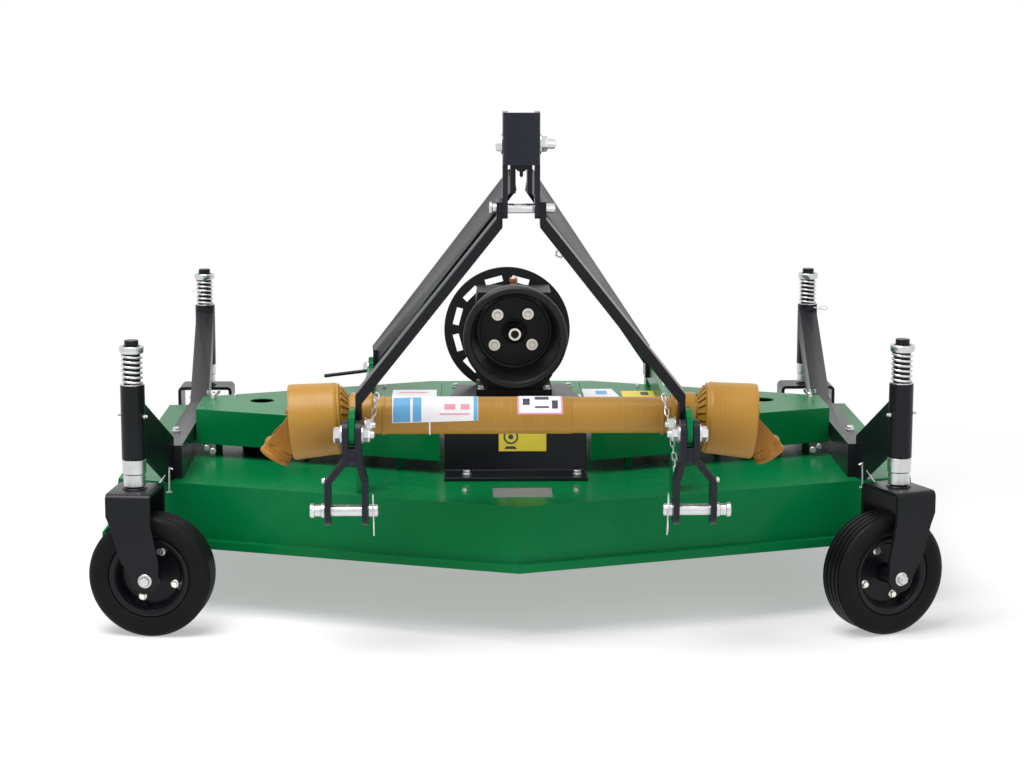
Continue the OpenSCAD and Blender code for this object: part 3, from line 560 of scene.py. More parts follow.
def forkPlate(place):
    half, top, plate, bend = castor["halfWidth"], castor["top"], castor["plate"], castor["bend"]
    heights = [99.2 + 27.8 * (1 - cos(pi * k / 16))
               for k in range(9)] + [150, 167, 177, 205, 234, 242, 260, 280, top - bend]
    rows = []
    for z in heights:
        x0, x1 = legSpan(z)
        rows.append(((-half, z), (-half + plate, z), x0, x1))
    for k in range(1, 6):
        a = pi / 2 * k / 5
        rows.append(((-half + bend - bend * cos(a), top - bend + bend * sin(a)),
                     (-half + bend - (bend - plate) * cos(a), top - bend + (bend - plate) * sin(a)), -46.0,
                     46.0))
    mirrored = [((-o[0], o[1]), (-i[0], i[1]), x0, x1) for o, i, x0, x1 in reversed(rows)]
    shape = Shape()
    shape.stitch([[place @ Vector((x0, o[0], o[1])), place @ Vector((x1, o[0], o[1])),
                   place @ Vector((x1, i[0], i[1])), place @ Vector((x0, i[0], i[1]))]
                  for o, i, x0, x1 in rows + mirrored], True, False, True)
    return shape


tyreOutline = [(84.2, -32), (85.5, -36), (90, -38.8), (99, -40.8), (108, -40.6), (116, -38.6), (121, -36.2),
               (123.4, -34), (124.6, -31.5)]
for edge, grooveHalf in ((-27.5, 1.9), (-14.5, 2.2), (0.0, 2.4)):
    tyreOutline += [(126.4 if edge < -20 else 126.9, edge - grooveHalf - 0.6), (125.4, edge - grooveHalf),
                    (121.5, edge - grooveHalf + 0.5), (121.5, edge + grooveHalf - 0.5),
                    (125.4, edge + grooveHalf), (126.9, edge + grooveHalf + 0.6)]
tyreOutline = tyreOutline[:-3]
tyreOutline += [(r, -h) for r, h in reversed(tyreOutline)]
rimOutline = [(8.2, -60), (17, -60), (18.6, -58.4), (18.6, -10), (20.5, -6.6), (57, -6), (60.5, -7.5),
              (63, -12), (66, -22), (70, -30), (75, -34), (80, -35.6), (83, -35), (83.6, -32)]
rimOutline += [(r, -h) for r, h in reversed(rimOutline)]

for corner, (x, y, top, turned) in corners.items():
    body, wheelBody = corner + "_castor", corner + "_wheel"
    place = Matrix.Translation(at(x, y, 0)) @ Matrix.Rotation(radians(turned), 4, "Z")
    wheel = place @ Matrix.Translation((castor["trail"], 0, castor["hub"])) @ Matrix.Rotation(pi / 2, 4, "X")
    sleeveTop = top - castor["sleeveDrop"]
    sleeveLow = sleeveTop - castor["sleeve"]
    fork = forkPlate(place)
    fork.turned([(0, 300), (17.3, 300), (17.3, top - 12), (14.6, top - 11.4), (14.6, top - 1), (13.6, top),
                 (0, top)], place, 40)
    fork.turned([(17.5, 299), (26, 299), (26, 307.2), (24, 309), (17.5, 309)], place, 40)
    fork = fork.made(corner + "_forkPlate", hitchBlack, 0.9)
    fitTo(fork, body, "black_paint", corner + "_fork")
    rings = Shape()
    middle = (castor["top"] + sleeveLow) / 2 + 0.5
    rings.turned([(17.6, 311.5), (21.6, 311.5), (22.6, 312.5), (22.6, middle - 1.6), (21.8, middle - 0.6),
                  (17.6, middle - 0.6)], place, 48)
    rings.turned([(17.6, middle), (23.4, middle), (24.4, middle + 1), (24.4, sleeveLow - 1.6),
                  (23.6, sleeveLow - 0.5), (17.6, sleeveLow - 0.5)], place, 48)
    rings.turned([(17.6, sleeveTop + 0.3), (23.5, sleeveTop + 0.3), (23.5, sleeveTop + 2.6),
                  (17.6, sleeveTop + 2.6)], place, 48)
    rings.turned([(15.2, sleeveTop + 66), (22.5, sleeveTop + 66), (24.6, sleeveTop + 69),
                  (25.4, sleeveTop + 73), (25.4, sleeveTop + 79), (24.2, sleeveTop + 81),
                  (20.5, sleeveTop + 81), (19.4, sleeveTop + 79), (15.2, sleeveTop + 79)], place, 48)
    fitTo(rings.made(corner + "_spacerRings", zinc, 0.4), body, "zinc")
    spring = grow(corner + "_spring", [place @ Vector((0, 0, sleeveTop + 5.2))], [], [], springTree,
                  {"Turns": castor["turns"], "Radius": castor["springRadius"] / 1000,
                   "Height": castor["springHeight"] / 1000, "Wire": castor["wire"] / 1000, "Finish": zinc})
    fitTo(spring, body, "zinc")
    axle = Shape()
    for side in (-1, 1):
        out = turnZTo(place.to_3x3() @ Vector((0, side, 0)),
                      place @ Vector((castor["trail"], side * castor["axleEnd"], castor["hub"])), 0.4)
        axle.turned([(0, 0), (14.2, 0), (14.2, 1.6), (13.2, 2.4), (0, 2.4)], out, 32)
        axle.hexagon(19.5, 2.4, 11.2, out)
        if side > 0:
            axle.turned([(0, 10), (5.8, 10), (5.8, 13.5), (4.8, 14.4), (0, 14.4)], out, 20)
    fitTo(axle.made(corner + "_axleBolt", zinc, smooth=25), body, "zinc")
    tyre = Shape()
    tyre.turned(tyreOutline, wheel, 120)
    fitTo(tyre.made(corner + "_ribbedTyre", rubber, smooth=40), wheelBody, "tyre_rubber", corner + "_tyre")
    rim = Shape()
    rim.turned(rimOutline, wheel, 72)
    fitTo(rim.made(corner + "_splitRim", hitchBlack, smooth=40), wheelBody, "black_paint", corner + "_rim")
    spots = []
    for side in (-1, 1):
        for k in range(4):
            a = radians(castor["boltTurn"] + 90 * k)
            spot = wheel @ Vector((castor["boltCircle"] * cos(a), castor["boltCircle"] * sin(a), side * 6.0))
            facing, along = wheel.to_3x3() @ Vector((0, 0, side)), place.to_3x3() @ Vector((1, 0, 0.2))
            spots.append((spot, facing, along, 0.92))
    setOut(corner + "_rimBolts", boltHead, spots, paleZinc, wheelBody)
print("castors made")


# Copies of sawn and folded parts get soft edges
def dressed(nodeName, width):
    part = [entry for entry in frame["record"]["subparts"] if entry["node"] == nodeName][0]
    mesh = bmesh.new()
    mesh.from_mesh(nodes[nodeName].data)
    bmesh.ops.remove_doubles(mesh, verts=mesh.verts, dist=2e-6)
    bmesh.ops.dissolve_limit(mesh, angle_limit=radians(1.0), verts=mesh.verts, edges=mesh.edges)
    data = bpy.data.meshes.new(nodeName + "_softened")
    mesh.to_mesh(data)
    mesh.free()
    data.materials.append(finishes[part["material_slot"]])
    data.polygons.foreach_set("use_smooth", [True] * len(data.polygons))
    data.set_sharp_from_angle(angle=radians(32))
    piece = newObject(nodeName + "_softened", data)
    addBevel(piece, width)
    return fitTo(piece, body_of(nodes[nodeName])[0], part["material_slot"], nodeName)


softEdges = {"deck": 3.0, "left_belt_cover": 3.0, "right_belt_cover": 3.0, "centre_belt_cover": 1.5,
             "gearbox_mount": 2.4, "left_side_rail": 2.5, "right_side_rail": 2.5,
             "left_front_carrier": 1.2, "right_front_carrier": 1.2, "left_hitch_rail": 1.2,
             "right_hitch_rail": 1.2}
for nodeName, width in softEdges.items():
    dressed(nodeName, width)
print("softened:", len(softEdges))


# Driveline: the guard tube with its ribbed cones and bells, and a hanging joint yoke at each end
driveline = {"x": 7.0, "y": -575.0, "z": 480.0, "coneIn": 310.0, "tube": 37.4,
             "droop": 5.0, "yokeDroop": 55.0, "pivot": 148.0, "ribs": 24}


def bellPlace(side):
    # Local Z runs outwards along the bell
    mirror = Matrix.Scale(-1, 4, (1, 0, 0)) if side < 0 else Matrix()
    lift = Matrix.Translation(at(driveline["x"], driveline["y"], driveline["z"]))
    tilt = Matrix.Rotation(radians(driveline["droop"]), 4, "Y")
    outwards = Matrix.Translation((driveline["coneIn"], 0, 0)) @ tilt @ Matrix.Rotation(pi / 2, 4, "Y")
    return lift @ mirror @ outwards


guard = Shape()
across = turnZTo((1, 0, 0), at(driveline["x"], driveline["y"], driveline["z"]))
tubeOutline = [(33.5, -312), (37.4, -312), (37.4, 96), (37.2, 97), (36.2, 97.6), (36.2, 312), (33.5, 312)]
guard.turned(tubeOutline, across, 72)
for side in (-1, 1):
    collar = turnZTo((side, 0, 0),
                     at(driveline["x"] + side * driveline["coneIn"], driveline["y"], driveline["z"]))
    guard.turned([(34, -14), (40, -14), (42.5, -10), (45.8, -8), (45.9, 32), (44.8, 34), (34, 34)], collar,
                 64)
    guard.turned([(34, -34), (38.6, -34), (39.4, -33), (39.4, -30), (38.6, -29), (34, -29)], collar, 64)
    bell = bellPlace(side)
    guard.turned([(25, 9), (36, 9), (38, 36), (62, 55), (66.6, 68), (71.5, 152.5), (72.6, 153.8),
                  (74.6, 153.9), (75.6, 152.4), (75.5, 144), (73.6, 105), (71.8, 70), (72.2, 66),
                  (72.2, 62), (70.6, 58.5), (69.2, 56.6), (69.4, 54), (68.4, 52.4), (65, 51.8),
                  (62.4, 50.2), (41.6, 37.5), (41, 36), (41, 8), (25, 8)], bell, 88)
fitTo(guard.made("guardTube", guardOchre, smooth=38), "frame", "driveline_plastic", "driveline_guard")
rib = Shape()
rib.sawn([(-14.5, -4.6), (13.2, -6.5), (14.4, -6.2), (14.4, 6.2), (13.2, 6.5), (-14.5, 4.6)], -2.5, 3.2)
rib = rib.made("coneRib", guardOchre, smooth=25)
templates.append(rib)
ribSpots = []
slope = Vector((20.8, 0, 12.7)).normalized()
for side in (-1, 1):
    bell = bellPlace(side)
    for k in range(driveline["ribs"]):
        spin = Matrix.Rotation(2 * pi * (k + 0.5) / driveline["ribs"], 4, "Z")
        centre = bell @ spin @ Vector((52.6, 0, 43.4))
        along = (bell @ spin).to_3x3() @ slope
        facing = (bell @ spin).to_3x3() @ Vector((slope.z, 0, -slope.x))
        ribSpots.append((centre, facing, along, 0.82))
setOut("coneRibs", rib, ribSpots, guardOchre, slotName="driveline_plastic")

earTurn = Matrix(((0, 0, 1, 0), (1, 0, 0, 0), (0, 1, 0, 0), (0, 0, 0, 1)))
for side, word in ((-1, "left"), (1, "right")):
    pivot = bellPlace(side) @ Matrix.Translation((0, 0, driveline["pivot"]))
    hang = pivot @ Matrix.Rotation(radians(driveline["yokeDroop"]), 4, "Y")
    yoke = Shape()
    yoke.turned([(0, -148), (23.6, -148), (23.6, -40), (21, -34), (0, -34)], pivot, 32)
    for s in (-1, 1):
        yoke.sawn([(17 * cos(pi * k / 10), 17 * sin(pi * k / 10)) for k in range(11)]
                  + [(-20, -36), (20, -36)], 18.5 * s - (9.5 if s < 0 else 0),
                  18.5 * s + (9.5 if s > 0 else 0), pivot @ earTurn)
    yoke.turned([(17.6, 49), (26, 49), (30.5, 52), (32.6, 56), (32.8, 62), (31.2, 64), (31.2, 74),
                 (32.8, 76), (32.8, 81.5), (31.4, 83.6), (19.6, 84), (17.6, 82), (17.6, 62), (3, 61),
                 (3, 50), (17.6, 50)], hang, 48)
    for s in (-1, 1):
        ear = [(18 * cos(a), 18 * sin(a)) for a in [pi + pi * k / 12 for k in range(13)]]
        ear = ear + [(19, 20), (25, 40), (27, 56), (-27, 56), (-25, 40), (-19, 20)]
        yoke.sawn(ear, 22.2 * s - (9.6 if s < 0 else 0), 22.2 * s + (9.6 if s > 0 else 0),
                  hang @ Matrix.Rotation(pi / 2, 4, "X"))
    yoke = yoke.made(word + "_yokeCasting", yokeOchre, 1.2, 40)
    fitTo(yoke, "frame", "yoke_paint", word + "_yoke")
    journals = Shape()
    for direction in ((1, 0, 0), (0, 1, 0)):
        along = hang if direction[1] else pivot
        spot = turnZTo(along.to_3x3() @ Vector(direction), hang.translation)
        reach = 31.6 if direction[1] else 26.5
        journals.turned([(0, -reach), (6.5, -reach), (7.8, -reach + 1.2), (7.8, reach - 1.2), (6.5, reach),
                         (0, reach)], spot, 24)
    fitTo(journals.made(word + "_yokeJournals", zinc, smooth=30), "frame", "zinc")
print("driveline made")


# Gearbox: lathed shield with its washered screws, splined shaft, breather and windowed ring
gear = {"shieldZ": 578.0, "inputZ": 578.0, "top": 661.0, "plateFace": -74.0, "breather": 16.0}
shieldTurn = turnZTo((0, -1, 0), at(0, 0, gear["shieldZ"]))
shield = Shape()
shield.turned([(101.5, 68.5), (104.2, 76), (112.8, 172), (113, 178), (111.6, 183.4), (108, 186.6),
               (103, 187), (98, 186.2), (95.2, 183.2), (94, 179), (93, 172), (88.6, 134), (86.5, 112),
               (84, 108), (83.4, 102), (82.8, 78), (81.6, 73.4), (77, 72.6), (75.9, 73.2), (75.2, 74),
               (27.6, 74), (26.4, 73), (25.8, 70), (25.8, 66.6), (96, 66.6)], shieldTurn, 112)
fitTo(shield.made("shieldDish", cast, smooth=28), "frame", "castings", "input_shield")
shaft = Shape()
shaftTurn = turnZTo((0, -1, 0), at(0, 0, gear["inputZ"]))
splined = []
for k in range(96):
    a = 2 * pi * k / 96
    splined.append((17.3 if (k % 16) < 9 else 14.8, a))
shaftRows = []
for h, inset in ((60, 0.0), (124.0, 0.0), (126.6, 2.6), (126.6, 9.4), (112.0, 20.0)):
    rims = [(max(r - inset, 9.0), a) for r, a in splined]
    shaftRows.append([shaftTurn @ Vector((r * cos(a), r * sin(a), h)) for r, a in rims])
shaft.stitch(shaftRows, True, False, True)
shaft.turned([(0, 60), (20.8, 60), (20.8, 85.8), (19.6, 86.9), (0, 86.9)], shaftTurn, 40)
fitTo(shaft.made("splinedShaft", cast, smooth=25), "input", "castings", "input_shaft")
shaftEnd = Shape()
shaftEnd.turned([(9.0, 112), (9.0, 127), (13.4, 127), (13.4, 125.6), (9.6, 112)], shaftTurn, 48)
fitTo(shaftEnd.made("shaftEndRing", paleZinc, smooth=25), "input", "zinc")
screwSpots = [(at(x, gear["plateFace"], z), (0, -1, 0), (1, 0, 0.01), 1.0)
              for x, z in ((-37, 614), (30, 616), (-44, 547), (39, 548))]
screw = Shape()
screw.turned([(0, 0), (13.2, 0), (13.2, 1.2), (12.4, 1.8), (0, 1.8)], steps=36)
screw.turned([(0, 1.6), (7.4, 1.6), (7.4, 3.0), (6.4, 4.0), (0, 4.0)], steps=24)
screw.hexagon(8.0, 3.8, 7.6)
screw = screw.made("washerScrew", zinc, smooth=25)
templates.append(screw)
setOut("shieldScrews", screw, screwSpots, paleZinc)
breather = Shape()
stand = Matrix.Translation(at(0, gear["breather"], gear["top"]))
breather.hexagon(15.0, 0.2, 5.5, stand)
breather.turned([(0, 5), (6.6, 5), (6.6, 13), (8.4, 14.5), (8.8, 16), (8.8, 23.4), (7.8, 25), (0, 25.3)],
                stand, 32)
fitTo(breather.made("breatherPlug", bronze, smooth=28), "frame", "zinc")
dressed("gearbox", 1.6)
print("gearbox dressed")


# Mast: folded bracket plate, top pin with its clip, inner plate and upper bolt
mast = {"y": -690.0, "pinZ": 906.0, "boltZ": 1030.0, "top": 1091.0, "half": 36.0, "plate": 10.0,
        "depth": 60.0, "webLow": 991.0, "bend": 12.0, "lobe": 30.0}


def bracketPlate():
    half, plate, bend = mast["half"], mast["plate"], mast["bend"]
    front, lobe = mast["y"] - mast["depth"] / 2, mast["pinZ"] + 10

    def lowAt(y):
        return lobe - sqrt(max(mast["lobe"] ** 2 - (y - mast["y"]) ** 2, 0.0))
    rows = []
    for k in range(9):
        y = mast["y"] + mast["lobe"] - 6 * k
        rows.append(((-half, y), (-half + plate, y), lowAt(y), mast["top"] - 0.01))
    rows.append(((-half, front + bend), (-half + plate, front + bend), mast["webLow"], mast["top"]))
    for k in range(1, 6):
        a = pi / 2 * k / 5
        rows.append(((-half + bend - bend * cos(a), front + bend - bend * sin(a)),
                     (-half + bend - 2 * cos(a), front + bend - 2 * sin(a)), mast["webLow"], mast["top"]))
    rows += [((-o[0], o[1]), (-i[0], i[1]), low, high) for o, i, low, high in reversed(rows)]
    shape = Shape()
    shape.stitch([[at(o[0], o[1], low), at(o[0], o[1], high), at(i[0], i[1], high), at(i[0], i[1], low)]
                  for o, i, low, high in rows], True, False, True)
    return shape


fitTo(bracketPlate().made("mastBracket", slateBlack, 1.0, 35), "frame", "black_paint", "top_bracket")
inner = Shape()
inner.sawn([(-11.5, 1012), (-8, 1016), (8, 1016), (11.5, 1012), (11.5, 984), (7.5, 979), (3.4, 978),
            (3.4, 970), (2, 967.5), (-2, 967.5), (-3.4, 970), (-3.4, 978), (-7.5, 979), (-11.5, 984)], 0,
           10, Matrix.Translation(at(0, -696, 0)) @ Matrix.Rotation(pi / 2, 4, "X"))
fitTo(inner.made("mastInnerPlate", hitchBlack, 0.8), "frame", "black_paint")
boltLine = turnZTo((1, 0, 0), at(0, mast["y"], mast["boltZ"]))
upper = Shape()
upper.turned([(0, -50), (8, -49.4), (9.6, -48), (9.6, 62), (8.4, 65), (5, 66), (0, 66)], boltLine, 28)
upper.turned([(9.6, -38.8), (19.5, -38.8), (19.5, -37), (18.5, -36.2), (9.6, -36.2)], boltLine, 32)
upper.turned([(9.6, 36.2), (19.5, 36.2), (19.5, 38), (18.5, 38.8), (9.6, 38.8)], boltLine, 32)
upper.hexagon(27.0, 38.8, 50.0, boltLine @ Matrix.Rotation(0.3, 4, "Z"))
upper.hexagon(27.0, 38.8, 49.0, turnZTo((-1, 0, 0), at(0, mast["y"], mast["boltZ"]), 0.2))
fitTo(upper.made("mastUpperBolt", zinc, smooth=25), "frame", "zinc")
topPin = Shape()
pinLine = turnZTo((1, 0, 0), at(0, mast["y"], mast["pinZ"]))
topPin.turned([(0, -62), (11.5, -61.6), (13, -60), (13, -56.6), (12, -55.2), (9.5, -55), (9.5, 62.5),
               (8, 65.4), (0, 66)], pinLine, 32)
topPin.turned([(9.5, 37.5), (15.5, 37.5), (15.5, 40), (9.5, 40)], pinLine, 28)
fitTo(topPin.made("topLinkPin", zinc, smooth=28), "frame", "zinc", "top_pin")


# Clevises: two cranked plates welded where they meet, with lobed ends
clevisSizes = {"y": -699.0, "bolt": 464.0, "pin": 313.0, "plate": 12.0, "lobe": 25.0,
               "hitch": 330.0, "pins": 341.5, "lowLobe": 309.0}


def offsetPairs(points, thick):
    pairs = []
    for i, point in enumerate(points):
        here = Vector(point)
        before = (here - Vector(points[i - 1])).normalized() if i else (Vector(points[1]) - here).normalized()
        after = (Vector(points[i + 1]) - here).normalized() if i < len(points) - 1 else before
        first, second = Vector((-before.y, before.x)), Vector((-after.y, after.x))
        way = (first + second) / (1 + first.dot(second)) * thick / 2
        pairs.append((here + way, here - way))
    return pairs


def clevisPlates(side):
    up, low = side * clevisSizes["hitch"], side * clevisSizes["pins"]
    y, lobe, bolt, heel = (clevisSizes[part] for part in ("y", "lobe", "bolt", "lowLobe"))
    shape = Shape()
    for s in (-1, 1):
        upX, lowX = up + s * 13.0, low + s * 36.5
        path = [(upX, bolt + 29 - 25 * (1 - cos(pi / 2 * k / 6))) for k in range(7)]
        path += [(upX, 425), (upX, 413), (lowX, 371), (lowX, 352), (lowX, heel)]
        path += [(lowX, heel - 24.9 * sin(pi / 2 * k / 7)) for k in range(1, 8)]
        rows = []
        for (a, b), (x, z) in zip(offsetPairs(path, clevisSizes["plate"]), path):
            if z > bolt + 4:
                half = sqrt(max(lobe ** 2 - (z - bolt - 4) ** 2, 4.0))
            elif z < heel:
                half = sqrt(max(lobe ** 2 - (heel - z) ** 2, 4.0))
            else:
                half = lobe
            rows.append([at(a.x, y - half, a.y), at(a.x, y + half, a.y), at(b.x, y + half, b.y),
                         at(b.x, y - half, b.y)])
        shape.stitch(rows, True, False, True)
    # The weld pad between the plates, with its bead down the middle
    pad = ((-7.2, 0), (-2.2, 0.2), (0, 1.6), (2.2, 0.2), (7.2, 0), (7.2, 24), (-7.2, 24))
    shape.stitch([[at(up + x, y - lobe + 1.5 + dent, z) for x, dent in pad] for z in (411, 440)], True,
                 False, True)
    shape.turned([(0, -6.4), (2.6, -5.6), (3.6, 0), (2.6, 5.6), (0, 6.4)],
                 turnZTo((1, 0, 0), at(up, y - lobe + 3, 410.5)), 10)
    return shape


headSpots, nutSpots = [], []
for side, word in ((-1, "left"), (1, "right")):
    up, low = side * clevisSizes["hitch"], side * clevisSizes["pins"]
    fitTo(clevisPlates(side).made(word + "_clevisPlates", slateBlack, 1.3, 35), "frame", "black_paint",
          word + "_clevis")
    pinLine = turnZTo((side, 0, 0), at(low, clevisSizes["y"], clevisSizes["pin"]))
    pin = Shape()
    pin.turned([(0, -62), (10.2, -61.6), (11.8, -60), (12.2, -44), (10.9, -43), (10.9, 42), (13.6, 43.4),
                (13.9, 46), (13.6, 49.4), (11.4, 51), (11.4, 62.6), (13.2, 63.6), (14, 65.4), (14, 70),
                (12.8, 71.8), (0, 72)], pinLine, 44)
    fitTo(pin.made(word + "_lowerLinkPin", zinc, smooth=28), "frame", "zinc", word + "_lower_pin")
    clip = Shape()
    clipX = low - side * 51.5
    clip.bent([at(clipX, -699, 341), at(clipX, -699, 335), at(clipX - side * 0.5, -699, 300),
               at(clipX - side * 1.5, -699, 262)], 1.6, 10)
    wave = [at(clipX - side * 0.2 * k, -716 + 3.4 * cos(k * 0.9), 341 - 6.2 * k) for k in range(12)]
    clip.bent([at(clipX, -699, 341), at(clipX, -701, 345.4), at(clipX, -706, 347.4),
               at(clipX, -711, 345.6)] + wave, 1.6, 10)
    fitTo(clip.made(word + "_pinClip", zinc), "frame", "zinc")
    outward, inward = (side, 0, 0), (-side, 0, 0)
    headSpots += [(at(up + side * 19.2, -699, 464), outward, (0, 0.3, 1), 2.1),
                  (at(low + side * 42.8, -699, 373), outward, (0, 0.5, 1), 0.72)]
    nutSpots += [(at(up - side * 19.2, -699, 464), inward, (0, 1, 0.2), 1.9),
                 (at(up - side * 24, -655, 475), inward, (0, 0.2, 1), 1.6)]
setOut("hitchHeads", boltHead, headSpots, zinc)
setOut("hitchNuts", nutAndEnd, nutSpots, zinc)
for nodeName in ("left_front_arm", "right_front_arm", "left_rear_brace", "right_rear_brace"):
    dressed(nodeName, 1.2)
print("hitch made")


# Fasteners over the frame, each on the part that carries it
frameBolts = [(at(-105, -236, level["flange"]), (0, 0, 1), (1, 0.2, 0), 1.15),
              (at(133, -236, level["flange"]), (0, 0, 1), (1, 0.5, 0), 1.15)]
for x in (-90, 90):
    frameBolts.append((at(x, 140, level["flange"]), (0, 0, 1), (1, 0.3, 0), 1.0))
for x, y in ((-72, -46), (72, -46), (-72, 74), (72, 74)):
    frameBolts.append((at(x, y, level["foot"]), (0, 0, 1), (1, 0.3 * (x > 0), 0), 1.05))
for side in (-1, 1):
    for x, y in ((133, 320), (300, 300), (460, 240), (640, 180)):
        frameBolts.append((at(side * x, y, level["cover"]), (0, 0, 1), (1, 0.2 * x / 100, 0), 0.62))
    frameBolts += [(at(side * 748, -71, level["rail"]), (0, 0, 1), (1, 0.4, 0), 1.1),
                   (at(side * 760, 358, level["rail"]), (0, 0, 1), (1, 0.7, 0), 1.0),
                   (at(side * 336.2, 290, 440), (side, 0, 0), (0, 1, 0.3), 1.6)]
setOut("frameBolts", boltHead, frameBolts, zinc)


# Blank labels and plates, each a thin raised film
def slab(shape, corners, thick=0.5):
    corners = [Vector(corner) for corner in corners]
    lift = (corners[1] - corners[0]).cross(corners[2] - corners[0]).normalized() * thick
    shape.stitch([corners, [corner + lift for corner in corners]], True, False, True)


def rolled(shape, x0, x1, start, end, lift=0.5, skew=0.0):
    # A film rolled round the guard tube from one angle to another, measured from the top forwards
    angles = [radians(start + (end - start) * k / 16) for k in range(17)]
    rows = []
    for x, turn in ((x0, 0.0), (x1, radians(skew))):
        radii = ((driveline["tube"] + lift, 1), (driveline["tube"] - 0.2, -1))
        rim = [(driveline["y"] - r * sin(a + turn), driveline["z"] + r * cos(a + turn))
               for r, way in radii for a in angles[::way]]
        rows.append([at(x, y, z) for y, z in rim])
    shape.stitch(rows, True, False, True)


films = {"white": Shape(), "blue": Shape(), "yellow": Shape(), "pink": Shape(), "print": Shape()}
rolled(films["white"], -254, -83, -18, 104, 0.5, -8)
rolled(films["blue"], -252, -196, 12, 102, 0.8, -3)
rolled(films["blue"], -92, -84, -4, 96, 0.8)
rolled(films["pink"], -5, 86, -14, 78, 0.5)
rolled(films["white"], -1, 82, -9, 73, 0.8)
for x0, x1, start, end in ((6, 20, 20, 48), (30, 58, 8, 26), (30, 58, 52, 58), (64, 76, 30, 60)):
    rolled(films["print"], x0, x1, start, end, 1.0)
for x0, x1, start, end in ((-150, -128, 44, 62), (-118, -100, 44, 62), (-160, -100, 74, 78)):
    rolled(films["pink"], x0, x1, start, end, 1.0)
rolled(films["white"], -181, -178, 0, 180, 1.6)
rolled(films["white"], -218, -213, 20, 100, 1.4)


def onCover(name, corners, thick=0.5):
    slab(films[name], [at(x, y, level["cover"]) for x, y in corners], thick)


onCover("white", ((-278, 150), (-175, 150), (-175, 259), (-278, 259)))
onCover("pink", ((-262, 214), (-196, 214), (-196, 226), (-262, 226)), 0.8)
onCover("white", ((104, 158), (160, 158), (160, 190), (104, 190)))
onCover("white", ((166, 158), (249, 158), (236, 267), (166, 267)))
onCover("blue", ((196, 190), (222, 190), (222, 240), (196, 240)), 0.8)
onCover("yellow", ((256, 157), (349, 157), (349, 238), (256, 238)))
onCover("print", ((300, 180), (318, 180), (318, 222), (300, 222)), 0.8)
slab(films["yellow"],
     [at(x, level["mountFront"], z) for x, z in ((-36, 332), (67, 332), (67, 380), (-36, 380))], 0.6)
faceOut = turnZTo((0, -1, 0), at(-10, level["mountFront"], 364))
films["print"].turned([(12.5, 0), (12.5, 1.0), (16, 1.0), (16, 0)], faceOut, 40)
films["print"].turned([(0, 0), (0, 1.0), (5.5, 1.0), (5.5, 0)], faceOut, 24)
slab(films["print"],
     [at(x, level["mountFront"], z) for x, z in ((-24, 337), (4, 337), (-2, 343), (-20, 343))], 0.9)
plate = Shape()
slab(plate, [at(x, y, level["deck"]) for x, y in ((-51, -437), (73, -437), (73, -350), (-51, -350))], 1.0)
slab(plate, [at(x, y, level["deck"]) for x, y in ((-45, -430), (67, -430), (67, -357), (-45, -357))], 1.3)
for x in (-47, 69):
    plate.turned([(0, 0), (3.2, 0), (2.8, 2.2), (0, 2.8)], Matrix.Translation(at(x, -393, level["deck"])), 14)
fitTo(plate.made("blankNameplate", plateAlloy, smooth=20), "frame", "zinc")
for word, finish, slotName in (("white", whiteFilm, "driveline_plastic"),
                               ("blue", blueFilm, "driveline_plastic"),
                               ("yellow", yellowFilm, "green_paint"),
                               ("pink", pinkFilm, "driveline_plastic"),
                               ("print", darkPrint, "black_paint")):
    fitTo(films[word].made(word + "Labels", finish, smooth=30), "frame", slotName)
print("labels made")


# Small parts: chains, handles, grease nipples, pins and knobs
def hang(name, start, end, links):
    chain = grow(name, [start, end], [(0, 1)], [], chainTree,
                 {"Links": links, "Piece": chainLink, "Finish": zinc})
    return fitTo(chain, "frame", "zinc")


hang("leftGuardChain", at(-284, -622, 526), at(-292, -650, 484), 4)
hang("rightGuardChain", at(286, -622, 523), at(293, -650, 484), 4)
hang("rightChainEnd", at(300, -650, 452), at(309, -650, 382), 6)
smallWire = Shape()
for x, z in ((-284, 528), (286, 525)):
    smallWire.bent([at(x + 5 * cos(a), -618 - 3 * sin(a), z + 6 * sin(a))
                    for a in [2 * pi * k / 14 for k in range(15)]], 1.4, 8)
for side, top in ((-1, 322), (1, 328)):
    smallWire.bent([at(side * 726, -332, top), at(side * 733, -332, top + 4),
                    at(side * 734, -333, top - 48)], 1.7, 8)
    smallWire.bent([at(side * 728, -333, top - 49), at(side * 740, -333, top - 50)], 2.2, 8)
    smallWire.bent([at(side * 742, -335, top - 12), at(side * 766, -352, top - 46)], 1.4, 8)
for x, z in ((816, 505), (-800, 548)):
    smallWire.bent([at(x - 24, 852 - 26, z + 3), at(x - 6, 852 - 28, z), at(x + 8, 852 - 27, z - 3),
                    at(x + 12, 852 - 27, z + 3), at(x + 4, 852 - 27, z + 7), at(x - 10, 852 - 27, z + 5)],
                   1.5, 8)
smallWire.bent([at(86, -668, 822), at(78, -668, 808), at(68, -668, 812), at(70, -668, 822)], 2.4, 10)
fitTo(smallWire.made("wireClips", zinc), "frame", "zinc")
handle = Shape()
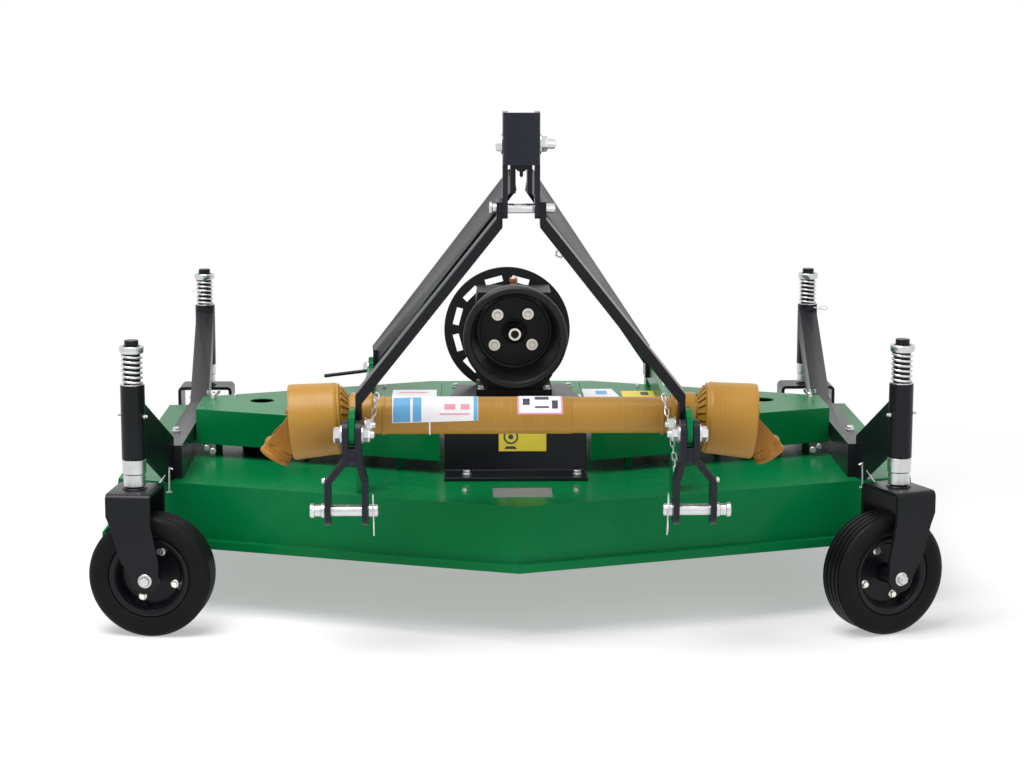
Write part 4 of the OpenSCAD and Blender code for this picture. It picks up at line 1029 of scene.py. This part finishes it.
handle.bent([at(-441, 290, 419), at(-400, 290, 424), at(-342, 290, 431)], 4.2, 16)
handle.bent([at(-318, 290, 464), at(-307, 290, 469), at(-274, 290, 485)], 4.2, 16)
fitTo(handle.made("stayHandle", hitchBlack), "frame", "black_paint")
nipple = Shape()
nipple.turned([(0, 0), (4.2, 0), (4.2, 3), (2.6, 4), (2.6, 7), (3.4, 8.4), (2.6, 10.4), (0, 11)], steps=18)
nipple = nipple.made("greaseNipple", zinc, smooth=30)
wing = Shape()
wing.turned([(0, 0), (7, 0), (6, 9), (3.4, 12), (3.4, 17), (0, 18)], steps=20)
for side in (-1, 1):
    wing.sawn([(side * 4, 3), (side * 15, 11), (side * 16, 19), (side * 11, 19), (side * 5, 10)], -1.6, 1.6,
              Matrix.Rotation(pi / 2, 4, "X"))
wing = wing.made("wingNut", zinc, 0.6, 30)
templates += [nipple, wing]
nippleSpots = []
for side in (-1, 1):
    nippleSpots += [(at(side * 767, -462, 458), (-side, -0.6, 0.1), (0, 0, 1), 1.0),
                    (at(side * 814, -458, 462), (side, -0.5, 0), (0, 0, 1), 0.7),
                    (at(side * 780, 827, 470), (0, -1, 0.1), (0, 0, 1), 0.9)]
setOut("greaseNipples", nipple, nippleSpots, zinc)
wingSpots = [(at(x, 150, level["cover"]), (0, 0, 1), (1, turned, 0), 1.0)
             for x, turned in ((-688, 0.4), (688, -0.7))]
setOut("coverWingNuts", wing, wingSpots, zinc)
gapBolts = []
for side in (-1, 1):
    gapBolts += [(at(side * 676, -6, 296), (0, -1, 0), (1, 0, 0.2), 0.8),
                 (at(side * 690, -6, 304), (0, -1, 0), (1, 0, 0.6), 0.7)]
for x in (-110, 124):
    gapBolts.append((at(x, -370, level["deck"]), (0, 0, 1), (1, 0.2, 0), 0.7))
for x, y in ((-132, 304), (138, 310)):
    gapBolts.append((at(x, y, level["cover"]), (0, 0, 1), (1, 0.5, 0), 1.0))
setOut("smallBolts", boltHead, gapBolts, zinc)
print("small parts made")


for template in templates:
    bpy.data.objects.remove(template)
